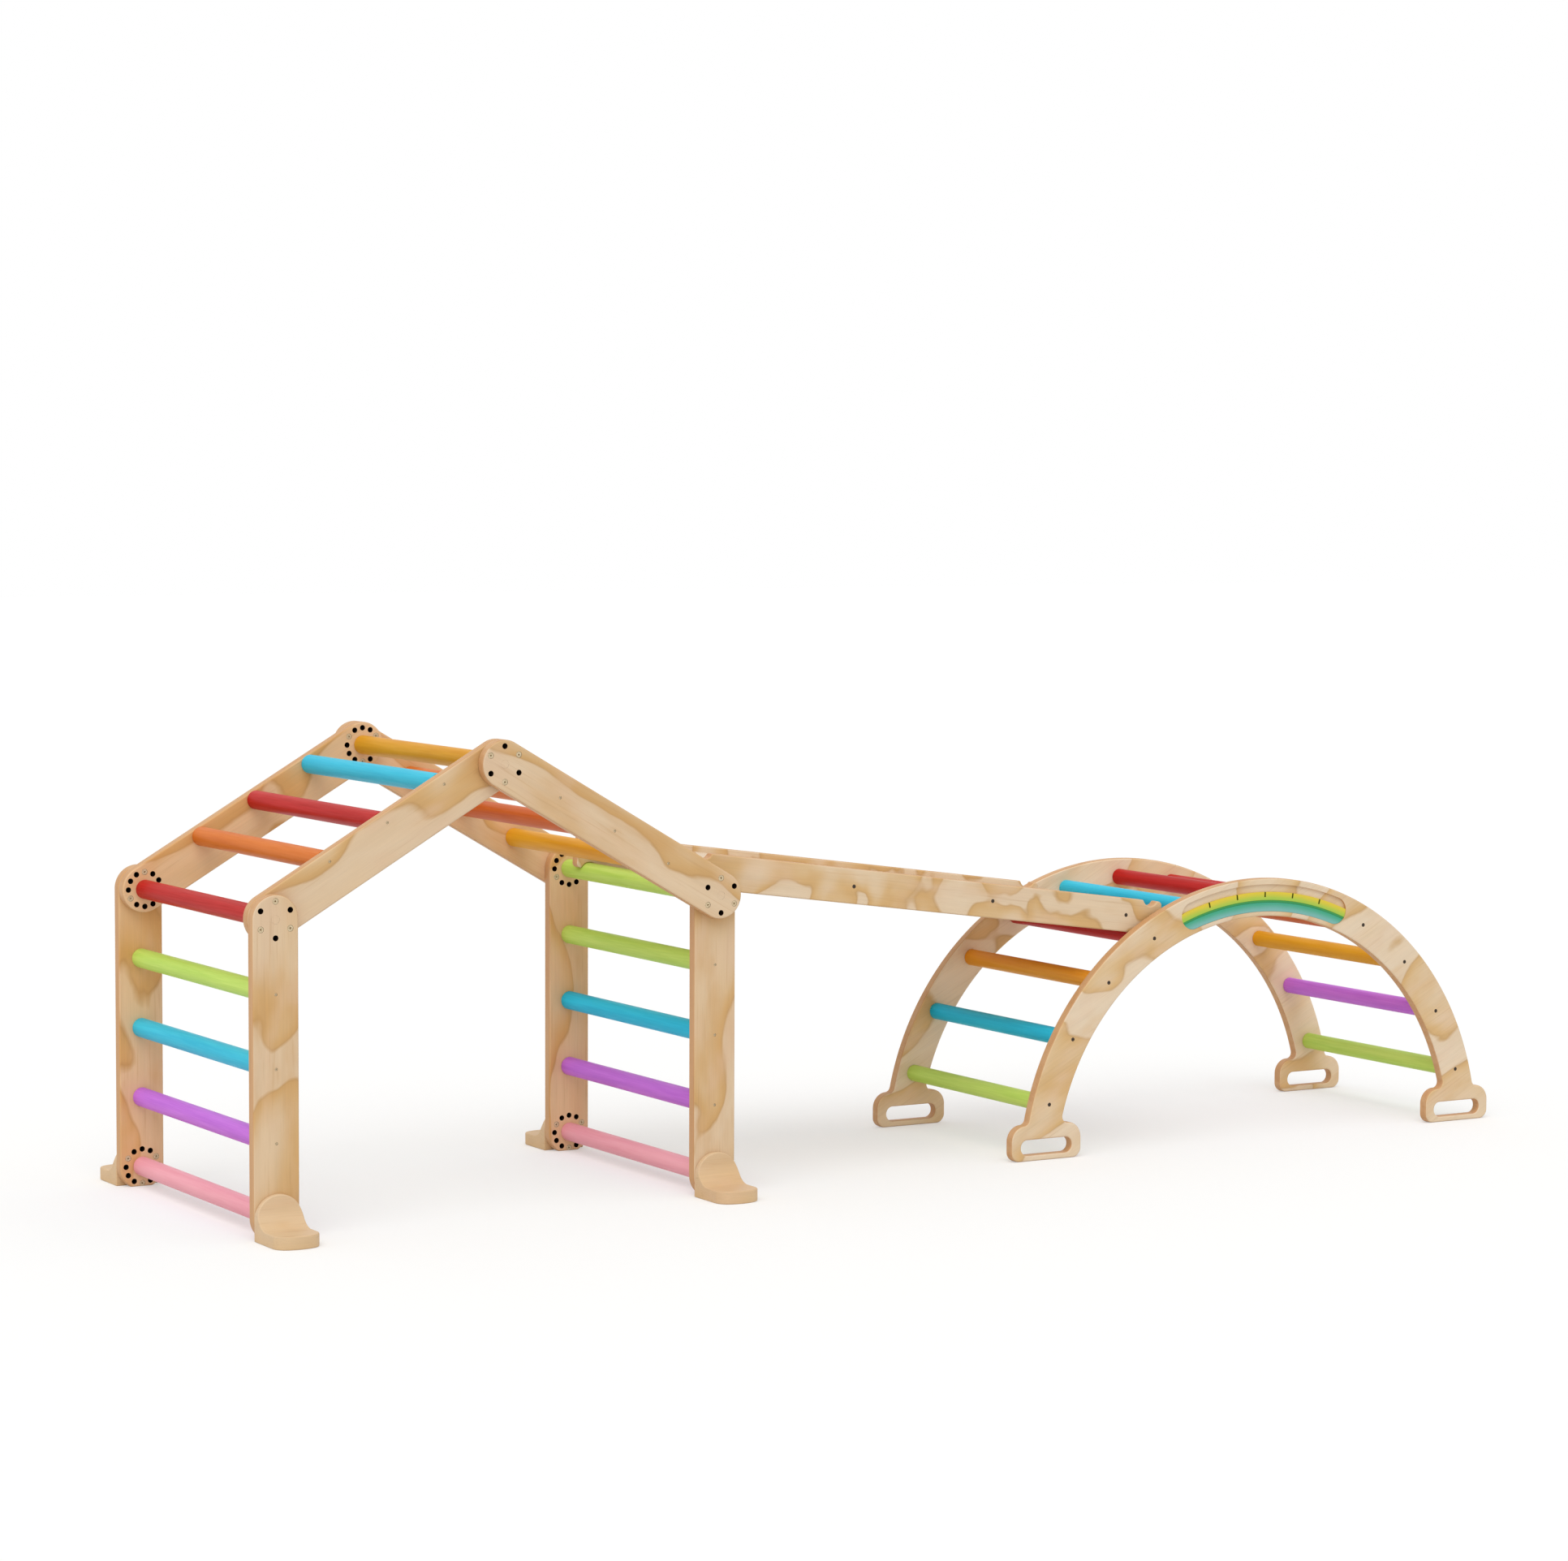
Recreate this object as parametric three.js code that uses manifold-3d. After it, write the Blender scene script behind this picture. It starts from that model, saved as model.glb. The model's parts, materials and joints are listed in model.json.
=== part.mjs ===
// Climbing tower for small children: a folding house of four ladder sections,
// a rung arch that stands beside it, and a ramp hooked between the two.
// Millimetres, +Z up. The origin lies on the floor under the middle of the set,
// +X runs along its length from the house to the arch, and -Y is its near side.

import * as THREE from 'three';
import { mergeGeometries, mergeVertices } from 'three/addons/utils/BufferGeometryUtils.js';
import Module from 'manifold-3d';

const wasm = await Module();
wasm.setup();

const DEG = Math.PI / 180;
const NEAR = -1;
const FAR = 1;
const SIDES = [['near', NEAR], ['far', FAR]];

// Timber and clearances
const boardThickness = 18;
const fitGap = 0.3;
const turnGap = 0.5;
const overrun = 5;

// House: two upright legs and two roof sections, hinged at their ends
const houseDepth = 544;
const boardWidth = 73;
const legPitch = 438;
const roofPitch = 430;
const roofSlope = 30 * DEG;
const footAxisHeight = 32;
const rungDiameter = 30;
const stepsPerSection = 4;
const leftRoofRungRise = 14;

// Ring of indexing holes round each hinge axis
const ringRadius = 27;
const ringHoleRadius = 3.7;
const innerRingHoles = 12;
const outerRingHoles = 6;
const pivotRadius = 4;
const pivotHeadRadius = 6.5;
const pivotHeadDepth = 5;
const pivotGrip = 30;

// Boot-shaped feet on the outside of the legs
const footPlate = 10;
const footReach = 90;
const footBow = 9;
const footCorner = 12;
const footSole = 20;
const footCoveRun = 34;
const footCoveRise = 31;

// Arch of two curved boards and eleven rungs, narrower than the house
const archInset = 55;
const archNearShift = 11.5;
const archRungRadius = 444;
const archCentreDrop = 32.5;
const archRungStep = 14.77 * DEG;
const archRungs = 11;
const archWidth = 64;
const archRungDiameter = 28;
const archEndAngle = 80 * DEG;

// Looped handles that the arch stands on
const handleOffset = 431;
const handleLength = 137;
const handleHeight = 59;
const handleTopCorner = 26;
const handleBottomCorner = 16;
const handleFillet = 10;
const slotLength = 99;
const slotHeight = 25;
const slotLift = 10;

// Striped inlay in a shallow recess on the near arch board
const recessDepth = 4;
const recessOuterEdge = 10;
const recessWidth = 46;
const recessAngle = 19.7 * DEG;
const recessTurn = 1.2 * DEG;
const stripThickness = 3;
const yellowWidth = 14;
const greenWidth = 4;
const tealWidth = 15;
const tickCount = 5;
const tickSpacing = 57;
const tickWidth = 3;
const tickDepth = 2;

// Ramp: two rails on edge between the arch boards, with a deck on four battens
const rampPitch = 860;
const rampHookRung = 4;
const rampSideGap = 6;
const railHeight = 56;
const railOverhang = 25;
const railRise = 5;
const railCorner = 8;
const deckThickness = 9;
const deckEndGap = 7;
const battenCount = 4;
const battenUpperInset = 13;
const battenLowerInset = 46;
const battenWidth = 20;
const battenHeight = 18;

// Places worked out from the sizes above
const boardRadius = boardWidth / 2;
const rungRadius = rungDiameter / 2;
const archRungBar = archRungDiameter / 2;
const outerFace = houseDepth / 2;
const innerFace = outerFace - boardThickness - turnGap;
const jointHeight = footAxisHeight + legPitch;
const apexX = roofPitch * Math.cos(roofSlope);
const rightJointX = 2 * apexX;
const legLean = 90 * DEG;
const upperEdgeOffset = boardRadius - rungRadius;

const archMiddle = (archRungs + 1) / 2;
const archHalfDepth = houseDepth / 2 - archInset;
const hookAngle = (rampHookRung - archMiddle) * archRungStep;
const hookHeight = archRungRadius * Math.cos(hookAngle) - archCentreDrop;
const rampDrop = jointHeight - hookHeight;
const rampRun = Math.sqrt(rampPitch ** 2 - rampDrop ** 2);
const rampTilt = Math.atan2(rampDrop, rampRun);
const archX = rightJointX + rampRun - archRungRadius * Math.sin(hookAngle);
const setStart = -boardRadius;
const setEnd = archX + handleOffset + handleLength / 2;
const setMiddle = (setStart + setEnd) / 2;

// Colours and finishes
const COLOURS = {
  birch: '#dcb78c', red: '#cf3436', lime: '#a9cf52', blue: '#2fa9cf', sky: '#46bde2',
  purple: '#b964d8', pink: '#ee9fb4', orange: '#e07b2e', amber: '#dd9f26', vermilion: '#cf5a2b',
  nickel: '#c9c7c1', yellow: '#cfd04a', green: '#3f8f3f', teal: '#4fae97',
};

function finish(colour) {
  const metal = colour === 'nickel';
  return new THREE.MeshStandardMaterial({
    color: COLOURS[colour],
    roughness: metal ? 0.35 : 0.55,
    metalness: metal ? 1 : 0,
  });
}

// Points along an arc about (x, y)
function arc(x, y, radius, from, to, steps) {
  return Array.from({ length: steps + 1 }, (_, i) => {
    const angle = from + (to - from) * i / steps;
    return new THREE.Vector2(x + radius * Math.cos(angle), y + radius * Math.sin(angle));
  });
}

// A closed triangle mesh without doubled points or empty triangles
function closedMesh(geometry) {
  const bare = geometry.clone();
  bare.deleteAttribute('normal');
  bare.deleteAttribute('uv');
  const merged = mergeVertices(bare);
  const corners = Array.from(merged.index.array);
  const kept = [];
  for (let i = 0; i < corners.length; i += 3) {
    const [a, b, c] = corners.slice(i, i + 3);
    if (a !== b && b !== c && c !== a) kept.push(a, b, c);
  }
  merged.setIndex(kept);
  return merged;
}

function solidOf(geometry) {
  const mesh = closedMesh(geometry);
  return new wasm.Manifold(new wasm.Mesh({
    numProp: 3,
    vertProperties: new Float32Array(mesh.attributes.position.array),
    triVerts: new Uint32Array(mesh.index.array),
  }));
}

function geometryOf(solid) {
  const mesh = solid.getMesh();
  const geometry = new THREE.BufferGeometry();
  geometry.setAttribute('position', new THREE.BufferAttribute(mesh.vertProperties, 3));
  geometry.setIndex(new THREE.BufferAttribute(mesh.triVerts, 1));
  geometry.computeVertexNormals();
  return geometry;
}

function joined(geometries) {
  return mergeGeometries(geometries.map(closedMesh));
}

function cut(body, cutters) {
  return geometryOf(solidOf(body).subtract(solidOf(joined(cutters))));
}

// A flat outline in X and Z, made thick along Y between two faces
function slab(outline, fromY, toY) {
  const shape = new THREE.Shape(outline);
  const geometry = new THREE.ExtrudeGeometry(shape, { depth: toY - fromY, bevelEnabled: false });
  return geometry.rotateX(90 * DEG).translate(0, toY, 0);
}

function box(fromX, toX, fromY, toY, fromZ, toZ) {
  return new THREE.BoxGeometry(toX - fromX, toY - fromY, toZ - fromZ)
    .translate((fromX + toX) / 2, (fromY + toY) / 2, (fromZ + toZ) / 2);
}

// A turned piece about the Y axis, from [radius, depth] pairs measured inward from a face
function turned(profile, facets, side, x, face, z) {
  const points = profile.map(([radius, depth]) => new THREE.Vector2(radius, depth));
  const geometry = new THREE.LatheGeometry(points, facets);
  if (side === FAR) geometry.rotateX(180 * DEG);
  return geometry.translate(x, side * face, z);
}

const HOLE_FACETS = 6;
const PIVOT_FACETS = 12;
const RUNG_FACETS = 16;
const END_STEPS = 12;

function pin(radius, start, end) {
  return [[0, start], [radius, start], [radius, end], [0, end]];
}

// Hinge bolt: a flush head in the outer board, a shank through both boards into the rung
function hingeBolt() {
  const end = 2 * boardThickness + turnGap + fitGap + pivotGrip;
  return [
    [0, 0], [pivotHeadRadius, 0], [pivotHeadRadius, pivotHeadDepth],
    [pivotRadius, pivotHeadDepth], [pivotRadius, end], [0, end],
  ];
}

function hingeBoltHole() {
  const head = pivotHeadRadius + fitGap;
  const shank = pivotRadius + fitGap;
  const seat = pivotHeadDepth + fitGap;
  return [
    [0, -overrun], [head, -overrun], [head, seat], [shank, seat],
    [shank, boardThickness + overrun], [0, boardThickness + overrun],
  ];
}

// A dowel rung across the set
function rung(radius, halfLength, x, z) {
  return turned(pin(radius, 0, 2 * halfLength), RUNG_FACETS, NEAR, x, halfLength, z);
}

// A rung on a hinge axis, with a bore in each end for the pivot
function hingeRung(halfLength, x) {
  const bores = SIDES.map(([, side]) => turned(
    pin(pivotRadius + fitGap, -overrun, pivotGrip + fitGap),
    PIVOT_FACETS, side, x, halfLength, 0));
  return cut(rung(rungRadius, halfLength, x, 0), bores);
}

// Ladder board: straight sides and round ends, the lower one cut flat where it meets the floor
function boardOutline(pitch, floorDrop) {
  const flat = Math.acos(Math.min(1, floorDrop / boardRadius));
  return [
    ...arc(pitch, 0, boardRadius, -90 * DEG, 90 * DEG, END_STEPS),
    ...arc(0, 0, boardRadius, 90 * DEG, 180 * DEG - flat, END_STEPS / 2),
    ...arc(0, 0, boardRadius, 180 * DEG + flat, 270 * DEG, END_STEPS / 2),
  ];
}

// Places of a ring's open holes. An index bolt fills each of the others, flush with the board.
function openHoles(hinge) {
  const angles = Array.from({ length: hinge.holes }, (_, i) => i * 360 / hinge.holes);
  return angles
    .filter((angle) => !hinge.bolts.includes(Math.round(angle)))
    .map((angle) => [
      hinge.at + ringRadius * Math.cos(angle * DEG), ringRadius * Math.sin(angle * DEG),
    ]);
}

function addPiece(group, name, geometry, colour) {
  const mesh = new THREE.Mesh(geometry, finish(colour));
  mesh.name = name;
  group.add(mesh);
}

// One ladder section in its own frame: X runs from its lower hinge to its upper one.
// hinges gives, for each end, its place, its ring of holes, the angles where the index bolts
// sit, and the rung on its axis. The outer of two boards takes the heads of the hinge bolts.
function ladderSection(plan) {
  const group = new THREE.Group();
  const { name, pitch, face, hinges } = plan;
  const floorDrop = plan.standsOnFloor ? footAxisHeight : boardRadius;
  const rungRise = plan.rungRise ?? 0;
  const rungOffset = plan.rungOffset ?? 0;
  const inside = face - boardThickness;
  for (const [label, side] of SIDES) {
    const holes = [];
    for (const hinge of hinges) {
      for (const [x, z] of openHoles(hinge)) {
        const hole = pin(ringHoleRadius, -overrun, boardThickness + overrun);
        holes.push(turned(hole, HOLE_FACETS, side, x, face, z));
      }
      const pivotHole = hinge.boltName
        ? hingeBoltHole()
        : pin(pivotRadius + fitGap, -overrun, boardThickness + overrun);
      holes.push(turned(pivotHole, PIVOT_FACETS, side, hinge.at, face, 0));
      if (hinge.boltName) {
        const bolt = turned(hingeBolt(), PIVOT_FACETS, side, hinge.at, face, 0);
        addPiece(group, `${hinge.boltName}_${label}_bolt`, closedMesh(bolt), 'nickel');
      }
    }
    const edges = side === NEAR ? [-face, -inside] : [inside, face];
    const plank = slab(boardOutline(pitch, floorDrop), ...edges);
    addPiece(group, `${name}_${label}_board`, cut(plank, holes), 'birch');
  }
  const halfLength = inside - fitGap;
  plan.rungs.forEach((colour, i) => {
    const along = pitch * (i + 1) / stepsPerSection + rungRise;
    const bar = rung(rungRadius, halfLength, along, rungOffset);
    addPiece(group, `${name}_rung_${i + 1}_${colour}`, bar, colour);
  });
  for (const hinge of hinges.filter((h) => h.rung)) {
    addPiece(group, hinge.rung.name, hingeRung(halfLength, hinge.at), hinge.rung.colour);
  }
  return group;
}

const LEFT_LEG = {
  name: 'left_leg',
  pitch: legPitch,
  face: outerFace,
  standsOnFloor: true,
  rungs: ['purple', 'sky', 'lime'],
  hinges: [
    {
      at: 0, holes: innerRingHoles, bolts: [60, 180, 300],
      rung: { name: 'left_foot_rung_pink', colour: 'pink' },
    },
    { at: legPitch, holes: outerRingHoles, bolts: [0, 120, 240], boltName: 'left_hinge' },
  ],
};

const LEFT_ROOF = {
  name: 'left_roof',
  pitch: roofPitch,
  face: innerFace,
  rungs: ['orange', 'red', 'sky'],
  rungRise: leftRoofRungRise,
  rungOffset: upperEdgeOffset,
  hinges: [
    {
      at: 0, holes: innerRingHoles, bolts: [60, 180, 300],
      rung: { name: 'left_joint_rung_red', colour: 'red' },
    },
    {
      at: roofPitch, holes: innerRingHoles, bolts: [0, 120, 240],
      rung: { name: 'apex_rung_amber', colour: 'amber' },
    },
  ],
};

const RIGHT_ROOF = {
  name: 'right_roof',
  pitch: roofPitch,
  face: outerFace,
  rungs: ['amber', 'vermilion', 'orange'],
  hinges: [
    { at: 0, holes: outerRingHoles, bolts: [60, 180, 300], boltName: 'right_hinge' },
    { at: roofPitch, holes: outerRingHoles, bolts: [0, 120, 240], boltName: 'apex_hinge' },
  ],
};

const RIGHT_LEG = {
  name: 'right_leg',
  pitch: legPitch,
  face: innerFace,
  standsOnFloor: true,
  rungs: ['purple', 'blue', 'lime'],
  hinges: [
    {
      at: 0, holes: innerRingHoles, bolts: [60, 180, 300],
      rung: { name: 'right_foot_rung_pink', colour: 'pink' },
    },
    {
      at: legPitch, holes: innerRingHoles, bolts: [0, 120, 240],
      rung: { name: 'right_joint_rung_lime', colour: 'lime' },
    },
  ],
};

// Boot-shaped foot for the near side, its back on Y = 0 and its hinge axis through the origin.
// Its pivot stud is part of it, and runs through the leg into the end of the pink rung.
const COVE_STEPS = 6;
const CORNER_STEPS = 4;
const BOW_STEPS = 6;

function footGeometry() {
  const top = footAxisHeight + boardRadius;
  const floor = -footAxisHeight;
  const sole = floor + footSole;
  const coveTop = sole + footCoveRise;
  const side = [
    [0, floor], [footReach + overrun, floor], [footReach + overrun, sole],
    ...Array.from({ length: COVE_STEPS + 1 }, (_, i) => {
      const angle = 90 * DEG * i / COVE_STEPS;
      return [
        footPlate + footCoveRun * (1 - Math.sin(angle)),
        coveTop - footCoveRise * Math.cos(angle),
      ];
    }),
    [footPlate, top], [0, top],
  ].map(([out, z]) => new THREE.Vector2(out, z));
  const profile = new THREE.ExtrudeGeometry(new THREE.Shape(side), {
    depth: boardWidth + 2 * overrun, bevelEnabled: false,
  });
  profile.rotateX(90 * DEG).rotateZ(-90 * DEG);
  profile.computeBoundingBox();
  const middle = profile.boundingBox.getCenter(new THREE.Vector3());
  profile.translate(-middle.x, 0, 0);

  const front = [
    ...arc(0, 0, boardRadius, 0, 180 * DEG, END_STEPS),
    new THREE.Vector2(-boardRadius, floor - overrun),
    new THREE.Vector2(boardRadius, floor - overrun),
  ];
  const face = slab(front, -footReach - 2 * overrun, overrun);

  const cornerReach = footReach - footBow;
  const bowRadius = ((boardRadius - footCorner) ** 2 + footBow ** 2) / (2 * footBow);
  const bowAngle = Math.asin((boardRadius - footCorner) / bowRadius);
  const plan = new THREE.Shape([
    new THREE.Vector2(boardRadius, overrun),
    new THREE.Vector2(-boardRadius, overrun),
    ...arc(-boardRadius + footCorner, -cornerReach + footCorner, footCorner,
      180 * DEG, 270 * DEG - bowAngle, CORNER_STEPS),
    ...arc(0, -footReach + bowRadius, bowRadius, 270 * DEG - bowAngle * (1 - 2 / BOW_STEPS),
      270 * DEG + bowAngle * (1 - 2 / BOW_STEPS), BOW_STEPS - 2),
    ...arc(boardRadius - footCorner, -cornerReach + footCorner, footCorner,
      270 * DEG + bowAngle, 360 * DEG, CORNER_STEPS),
  ]);
  const footprint = new THREE.ExtrudeGeometry(plan, {
    depth: boardRadius + footAxisHeight + 2 * overrun, bevelEnabled: false,
  }).translate(0, 0, floor - overrun);

  const studEnd = turnGap + boardThickness + fitGap + pivotGrip;
  const stud = turned(pin(pivotRadius, -footPlate / 2, studEnd), PIVOT_FACETS, NEAR, 0, 0, 0);
  const body = solidOf(profile).intersect(solidOf(face)).intersect(solidOf(footprint));
  return geometryOf(body.add(solidOf(stud)));
}

function addFeet(house) {
  const places = [['left', 0, outerFace], ['right', rightJointX, innerFace]];
  for (const [end, x, face] of places) {
    for (const [label, side] of SIDES) {
      const holder = new THREE.Group();
      holder.position.set(x, side * (face + turnGap), footAxisHeight);
      holder.rotation.z = side === FAR ? 180 * DEG : 0;
      addPiece(holder, `${end}_${label}_foot`, footGeometry(), 'birch');
      house.add(holder);
    }
  }
}

function buildHouse() {
  const house = new THREE.Group();
  const places = [
    [LEFT_LEG, 0, footAxisHeight, legLean],
    [LEFT_ROOF, 0, jointHeight, roofSlope],
    [RIGHT_ROOF, rightJointX, jointHeight, 180 * DEG - roofSlope],
    [RIGHT_LEG, rightJointX, footAxisHeight, legLean],
  ];
  for (const [plan, x, z, lean] of places) {
    const section = ladderSection(plan);
    section.position.set(x, 0, z);
    section.rotation.y = -lean;
    house.add(section);
  }
  addFeet(house);
  return house;
}

// Arch, in a frame at the centre of its rung circle. Angles are measured from straight up.
const ARCH_STEPS = 40;
const RECESS_STEPS = 12;

function polar(radius, angle) {
  return [radius * Math.sin(angle), radius * Math.cos(angle)];
}

function bandOutline(inner, outer, angle, steps) {
  const up = 90 * DEG;
  return [
    ...arc(0, 0, outer, up - angle, up + angle, steps),
    ...arc(0, 0, inner, up + angle, up - angle, steps),
  ];
}

function roundedBox(x, bottom, length, height, topCorner, bottomCorner) {
  const half = length / 2;
  const top = bottom + height;
  const corner = (cx, cy, radius, from) =>
    arc(cx, cy, radius, from, from + 90 * DEG, CORNER_STEPS);
  return [
    ...corner(x + half - bottomCorner, bottom + bottomCorner, bottomCorner, 270 * DEG),
    ...corner(x + half - topCorner, top - topCorner, topCorner, 0),
    ...corner(x - half + topCorner, top - topCorner, topCorner, 90 * DEG),
    ...corner(x - half + bottomCorner, bottom + bottomCorner, bottomCorner, 180 * DEG),
  ];
}

// Small hollow curve where a board edge runs into the top of a handle.
// The edge crosses the handle's top at distance edge from the middle of the arch.
function filletOutline(edgeRadius, outward, mirror) {
  const top = archCentreDrop + handleHeight;
  const lean = Math.asin(top / edgeRadius);
  const edge = edgeRadius * Math.cos(lean);
  const along = handleFillet * (1 - outward * Math.sin(lean)) / Math.cos(lean);
  const touch = [edge - along * Math.sin(lean), top + along * Math.cos(lean)];
  const centre = [
    touch[0] + outward * handleFillet * Math.cos(lean),
    touch[1] + outward * handleFillet * Math.sin(lean),
  ];
  const start = -90 * DEG;
  const end = outward > 0 ? -180 * DEG + lean : lean;
  const curve = arc(centre[0], centre[1], handleFillet, start, end, CORNER_STEPS);
  const sink = outward * handleFillet;
  const base = [
    new THREE.Vector2(touch[0] - sink, touch[1]),
    new THREE.Vector2(touch[0] - sink, top - handleFillet / 2),
    new THREE.Vector2(centre[0], top - handleFillet / 2),
  ];
  return [...curve, ...base].map((p) => new THREE.Vector2(mirror * p.x, p.y));
}

function recessOutline(gap) {
  const middle = archRungRadius + archWidth / 2 - recessOuterEdge - recessWidth / 2;
  const half = recessWidth / 2 - gap;
  const up = 90 * DEG;
  const cap = (side) => {
    const [x, y] = polar(middle, side * recessAngle);
    const from = side < 0 ? up + recessAngle : -up - recessAngle;
    return arc(x, y, half, from, from + 180 * DEG, CORNER_STEPS * 2);
  };
  return [
    ...arc(0, 0, middle + half, up - recessAngle, up + recessAngle, RECESS_STEPS),
    ...cap(-1).slice(1, -1),
    ...arc(0, 0, middle - half, up + recessAngle, up - recessAngle, RECESS_STEPS),
    ...cap(1).slice(1, -1),
  ];
}

function archRungAngles() {
  return Array.from({ length: archRungs }, (_, i) => (i + 1 - archMiddle) * archRungStep);
}

function archBoard(side) {
  const inside = archHalfDepth - boardThickness;
  const edges = side === NEAR ? [-archHalfDepth, -inside] : [inside, archHalfDepth];
  const inner = archRungRadius - archWidth / 2;
  const outer = archRungRadius + archWidth / 2;
  let body = solidOf(slab(bandOutline(inner, outer, archEndAngle, ARCH_STEPS), ...edges));
  const cutters = [];
  for (const mirror of [-1, 1]) {
    const x = mirror * handleOffset;
    const loop = roundedBox(x, archCentreDrop, handleLength, handleHeight,
      handleTopCorner, handleBottomCorner);
    body = body.add(solidOf(slab(loop, ...edges)));
    body = body.add(solidOf(slab(filletOutline(outer, 1, mirror), ...edges)));
    body = body.add(solidOf(slab(filletOutline(inner, -1, mirror), ...edges)));
    const slot = roundedBox(x, archCentreDrop + slotLift, slotLength, slotHeight,
      slotHeight / 2, slotHeight / 2);
    cutters.push(slab(slot, edges[0] - overrun, edges[1] + overrun));
  }
  if (side === NEAR) {
    const recess = slab(recessOutline(0), edges[0] - overrun, edges[0] + recessDepth);
    cutters.push(recess.rotateY(recessTurn));
  }
  return geometryOf(body.subtract(solidOf(joined(cutters))));
}

// Stripes from the outside in: a yellow one broken by ticks, a thin green one, a teal one
function inlayStrips() {
  const recessFloor = -archHalfDepth + recessDepth;
  const back = recessFloor - fitGap;
  const front = back - stripThickness;
  const inEdge = archRungRadius + archWidth / 2 - recessOuterEdge - recessWidth + fitGap;
  const bed = slab(recessOutline(fitGap), front - overrun, back + overrun).rotateY(recessTurn);
  const reach = recessAngle + recessTurn + recessWidth / archRungRadius;
  const strip = (inner, width) => {
    const band = bandOutline(inner, inner + width - fitGap, reach, RECESS_STEPS);
    return solidOf(slab(band, front, back)).intersect(solidOf(bed));
  };
  const teal = strip(inEdge, tealWidth);
  const green = strip(inEdge + tealWidth, greenWidth);
  const yellowInner = inEdge + tealWidth + greenWidth;
  const ticks = Array.from({ length: tickCount }, (_, i) => {
    const angle = recessTurn + (i - (tickCount - 1) / 2) * tickSpacing / yellowInner;
    const reachOut = yellowInner + yellowWidth + overrun;
    const bar = box(-tickWidth / 2, tickWidth / 2, front - overrun, front + tickDepth,
      yellowInner - overrun, reachOut);
    return bar.rotateY(angle);
  });
  const yellow = strip(yellowInner, yellowWidth).subtract(solidOf(joined(ticks)));
  return { yellow, green, teal };
}

function buildArch() {
  const arch = new THREE.Group();
  for (const [label, side] of SIDES) {
    addPiece(arch, `arch_${label}_board`, archBoard(side), 'birch');
  }
  const colours = [
    'lime', 'blue', 'orange', 'red', 'sky', 'red', 'vermilion', 'vermilion', 'amber', 'purple',
    'lime',
  ];
  const halfLength = archHalfDepth - boardThickness - fitGap;
  archRungAngles().forEach((angle, i) => {
    const colour = colours[i % colours.length];
    const bar = rung(archRungBar, halfLength, ...polar(archRungRadius, angle));
    addPiece(arch, `arch_rung_${i + 1}_${colour}`, bar, colour);
  });
  for (const [colour, strip] of Object.entries(inlayStrips())) {
    addPiece(arch, `arch_inlay_${colour}`, geometryOf(strip), colour);
  }
  arch.position.set(archX, -archNearShift, -archCentreDrop);
  return arch;
}

// Ramp, in a frame at the house rung it hooks on: X runs down its slope, Z is square to it
const SEAT_FACETS = 32;

// A rail takes the rungs in round seats. It has the same seats above, so the ramp can be turned over.
function rampRail(side, face) {
  const inside = face - boardThickness;
  const edges = side === NEAR ? [-face, -inside] : [inside, face];
  const plank = roundedBox(rampPitch / 2, railRise, rampPitch + 2 * railOverhang, railHeight,
    railCorner, railCorner);
  const seats = [];
  for (const [radius, x] of [[rungRadius, 0], [archRungBar, rampPitch]]) {
    for (const z of [0, railHeight + 2 * railRise]) {
      const seat = pin(radius + fitGap, -overrun, boardThickness + overrun);
      seats.push(turned(seat, SEAT_FACETS, side, x, face, z));
    }
  }
  return cut(slab(plank, ...edges), seats);
}

function buildRamp() {
  const ramp = new THREE.Group();
  const face = archHalfDepth - boardThickness - rampSideGap;
  const halfLength = face - boardThickness - fitGap;
  const battenBottom = railRise + (railHeight - battenHeight) / 2;
  const battenTop = battenBottom + battenHeight;
  const spacing = (rampPitch - battenUpperInset - battenLowerInset) / (battenCount - 1);
  for (const [label, side] of SIDES) {
    addPiece(ramp, `ramp_${label}_rail`, rampRail(side, face), 'birch');
  }
  for (let i = 0; i < battenCount; i += 1) {
    const x = battenUpperInset + i * spacing;
    const batten = box(x - battenWidth / 2, x + battenWidth / 2, -halfLength, halfLength,
      battenBottom, battenTop);
    addPiece(ramp, `ramp_batten_${i + 1}`, batten, 'birch');
  }
  const deckBottom = battenTop + fitGap;
  const deckReach = railOverhang - deckEndGap;
  const deck = box(-deckReach, rampPitch + deckReach, -halfLength, halfLength,
    deckBottom, deckBottom + deckThickness);
  addPiece(ramp, 'ramp_deck', deck, 'birch');
  ramp.position.set(rightJointX, -archNearShift, jointHeight);
  ramp.rotation.y = rampTilt;
  return ramp;
}

const tower = new THREE.Group();
const standing = new THREE.Group();
standing.add(buildHouse(), buildArch(), buildRamp());
standing.position.x = -setMiddle;
tower.add(standing);

export default tower;
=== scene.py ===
# Climbing tower of birch boards and stained dowels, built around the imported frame.
# A piece is shaped in millimetres in its own frame, and set_in() puts it in its place in metres.

import json
import math

import bmesh
import bpy
from mathutils import Matrix, Vector


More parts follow.
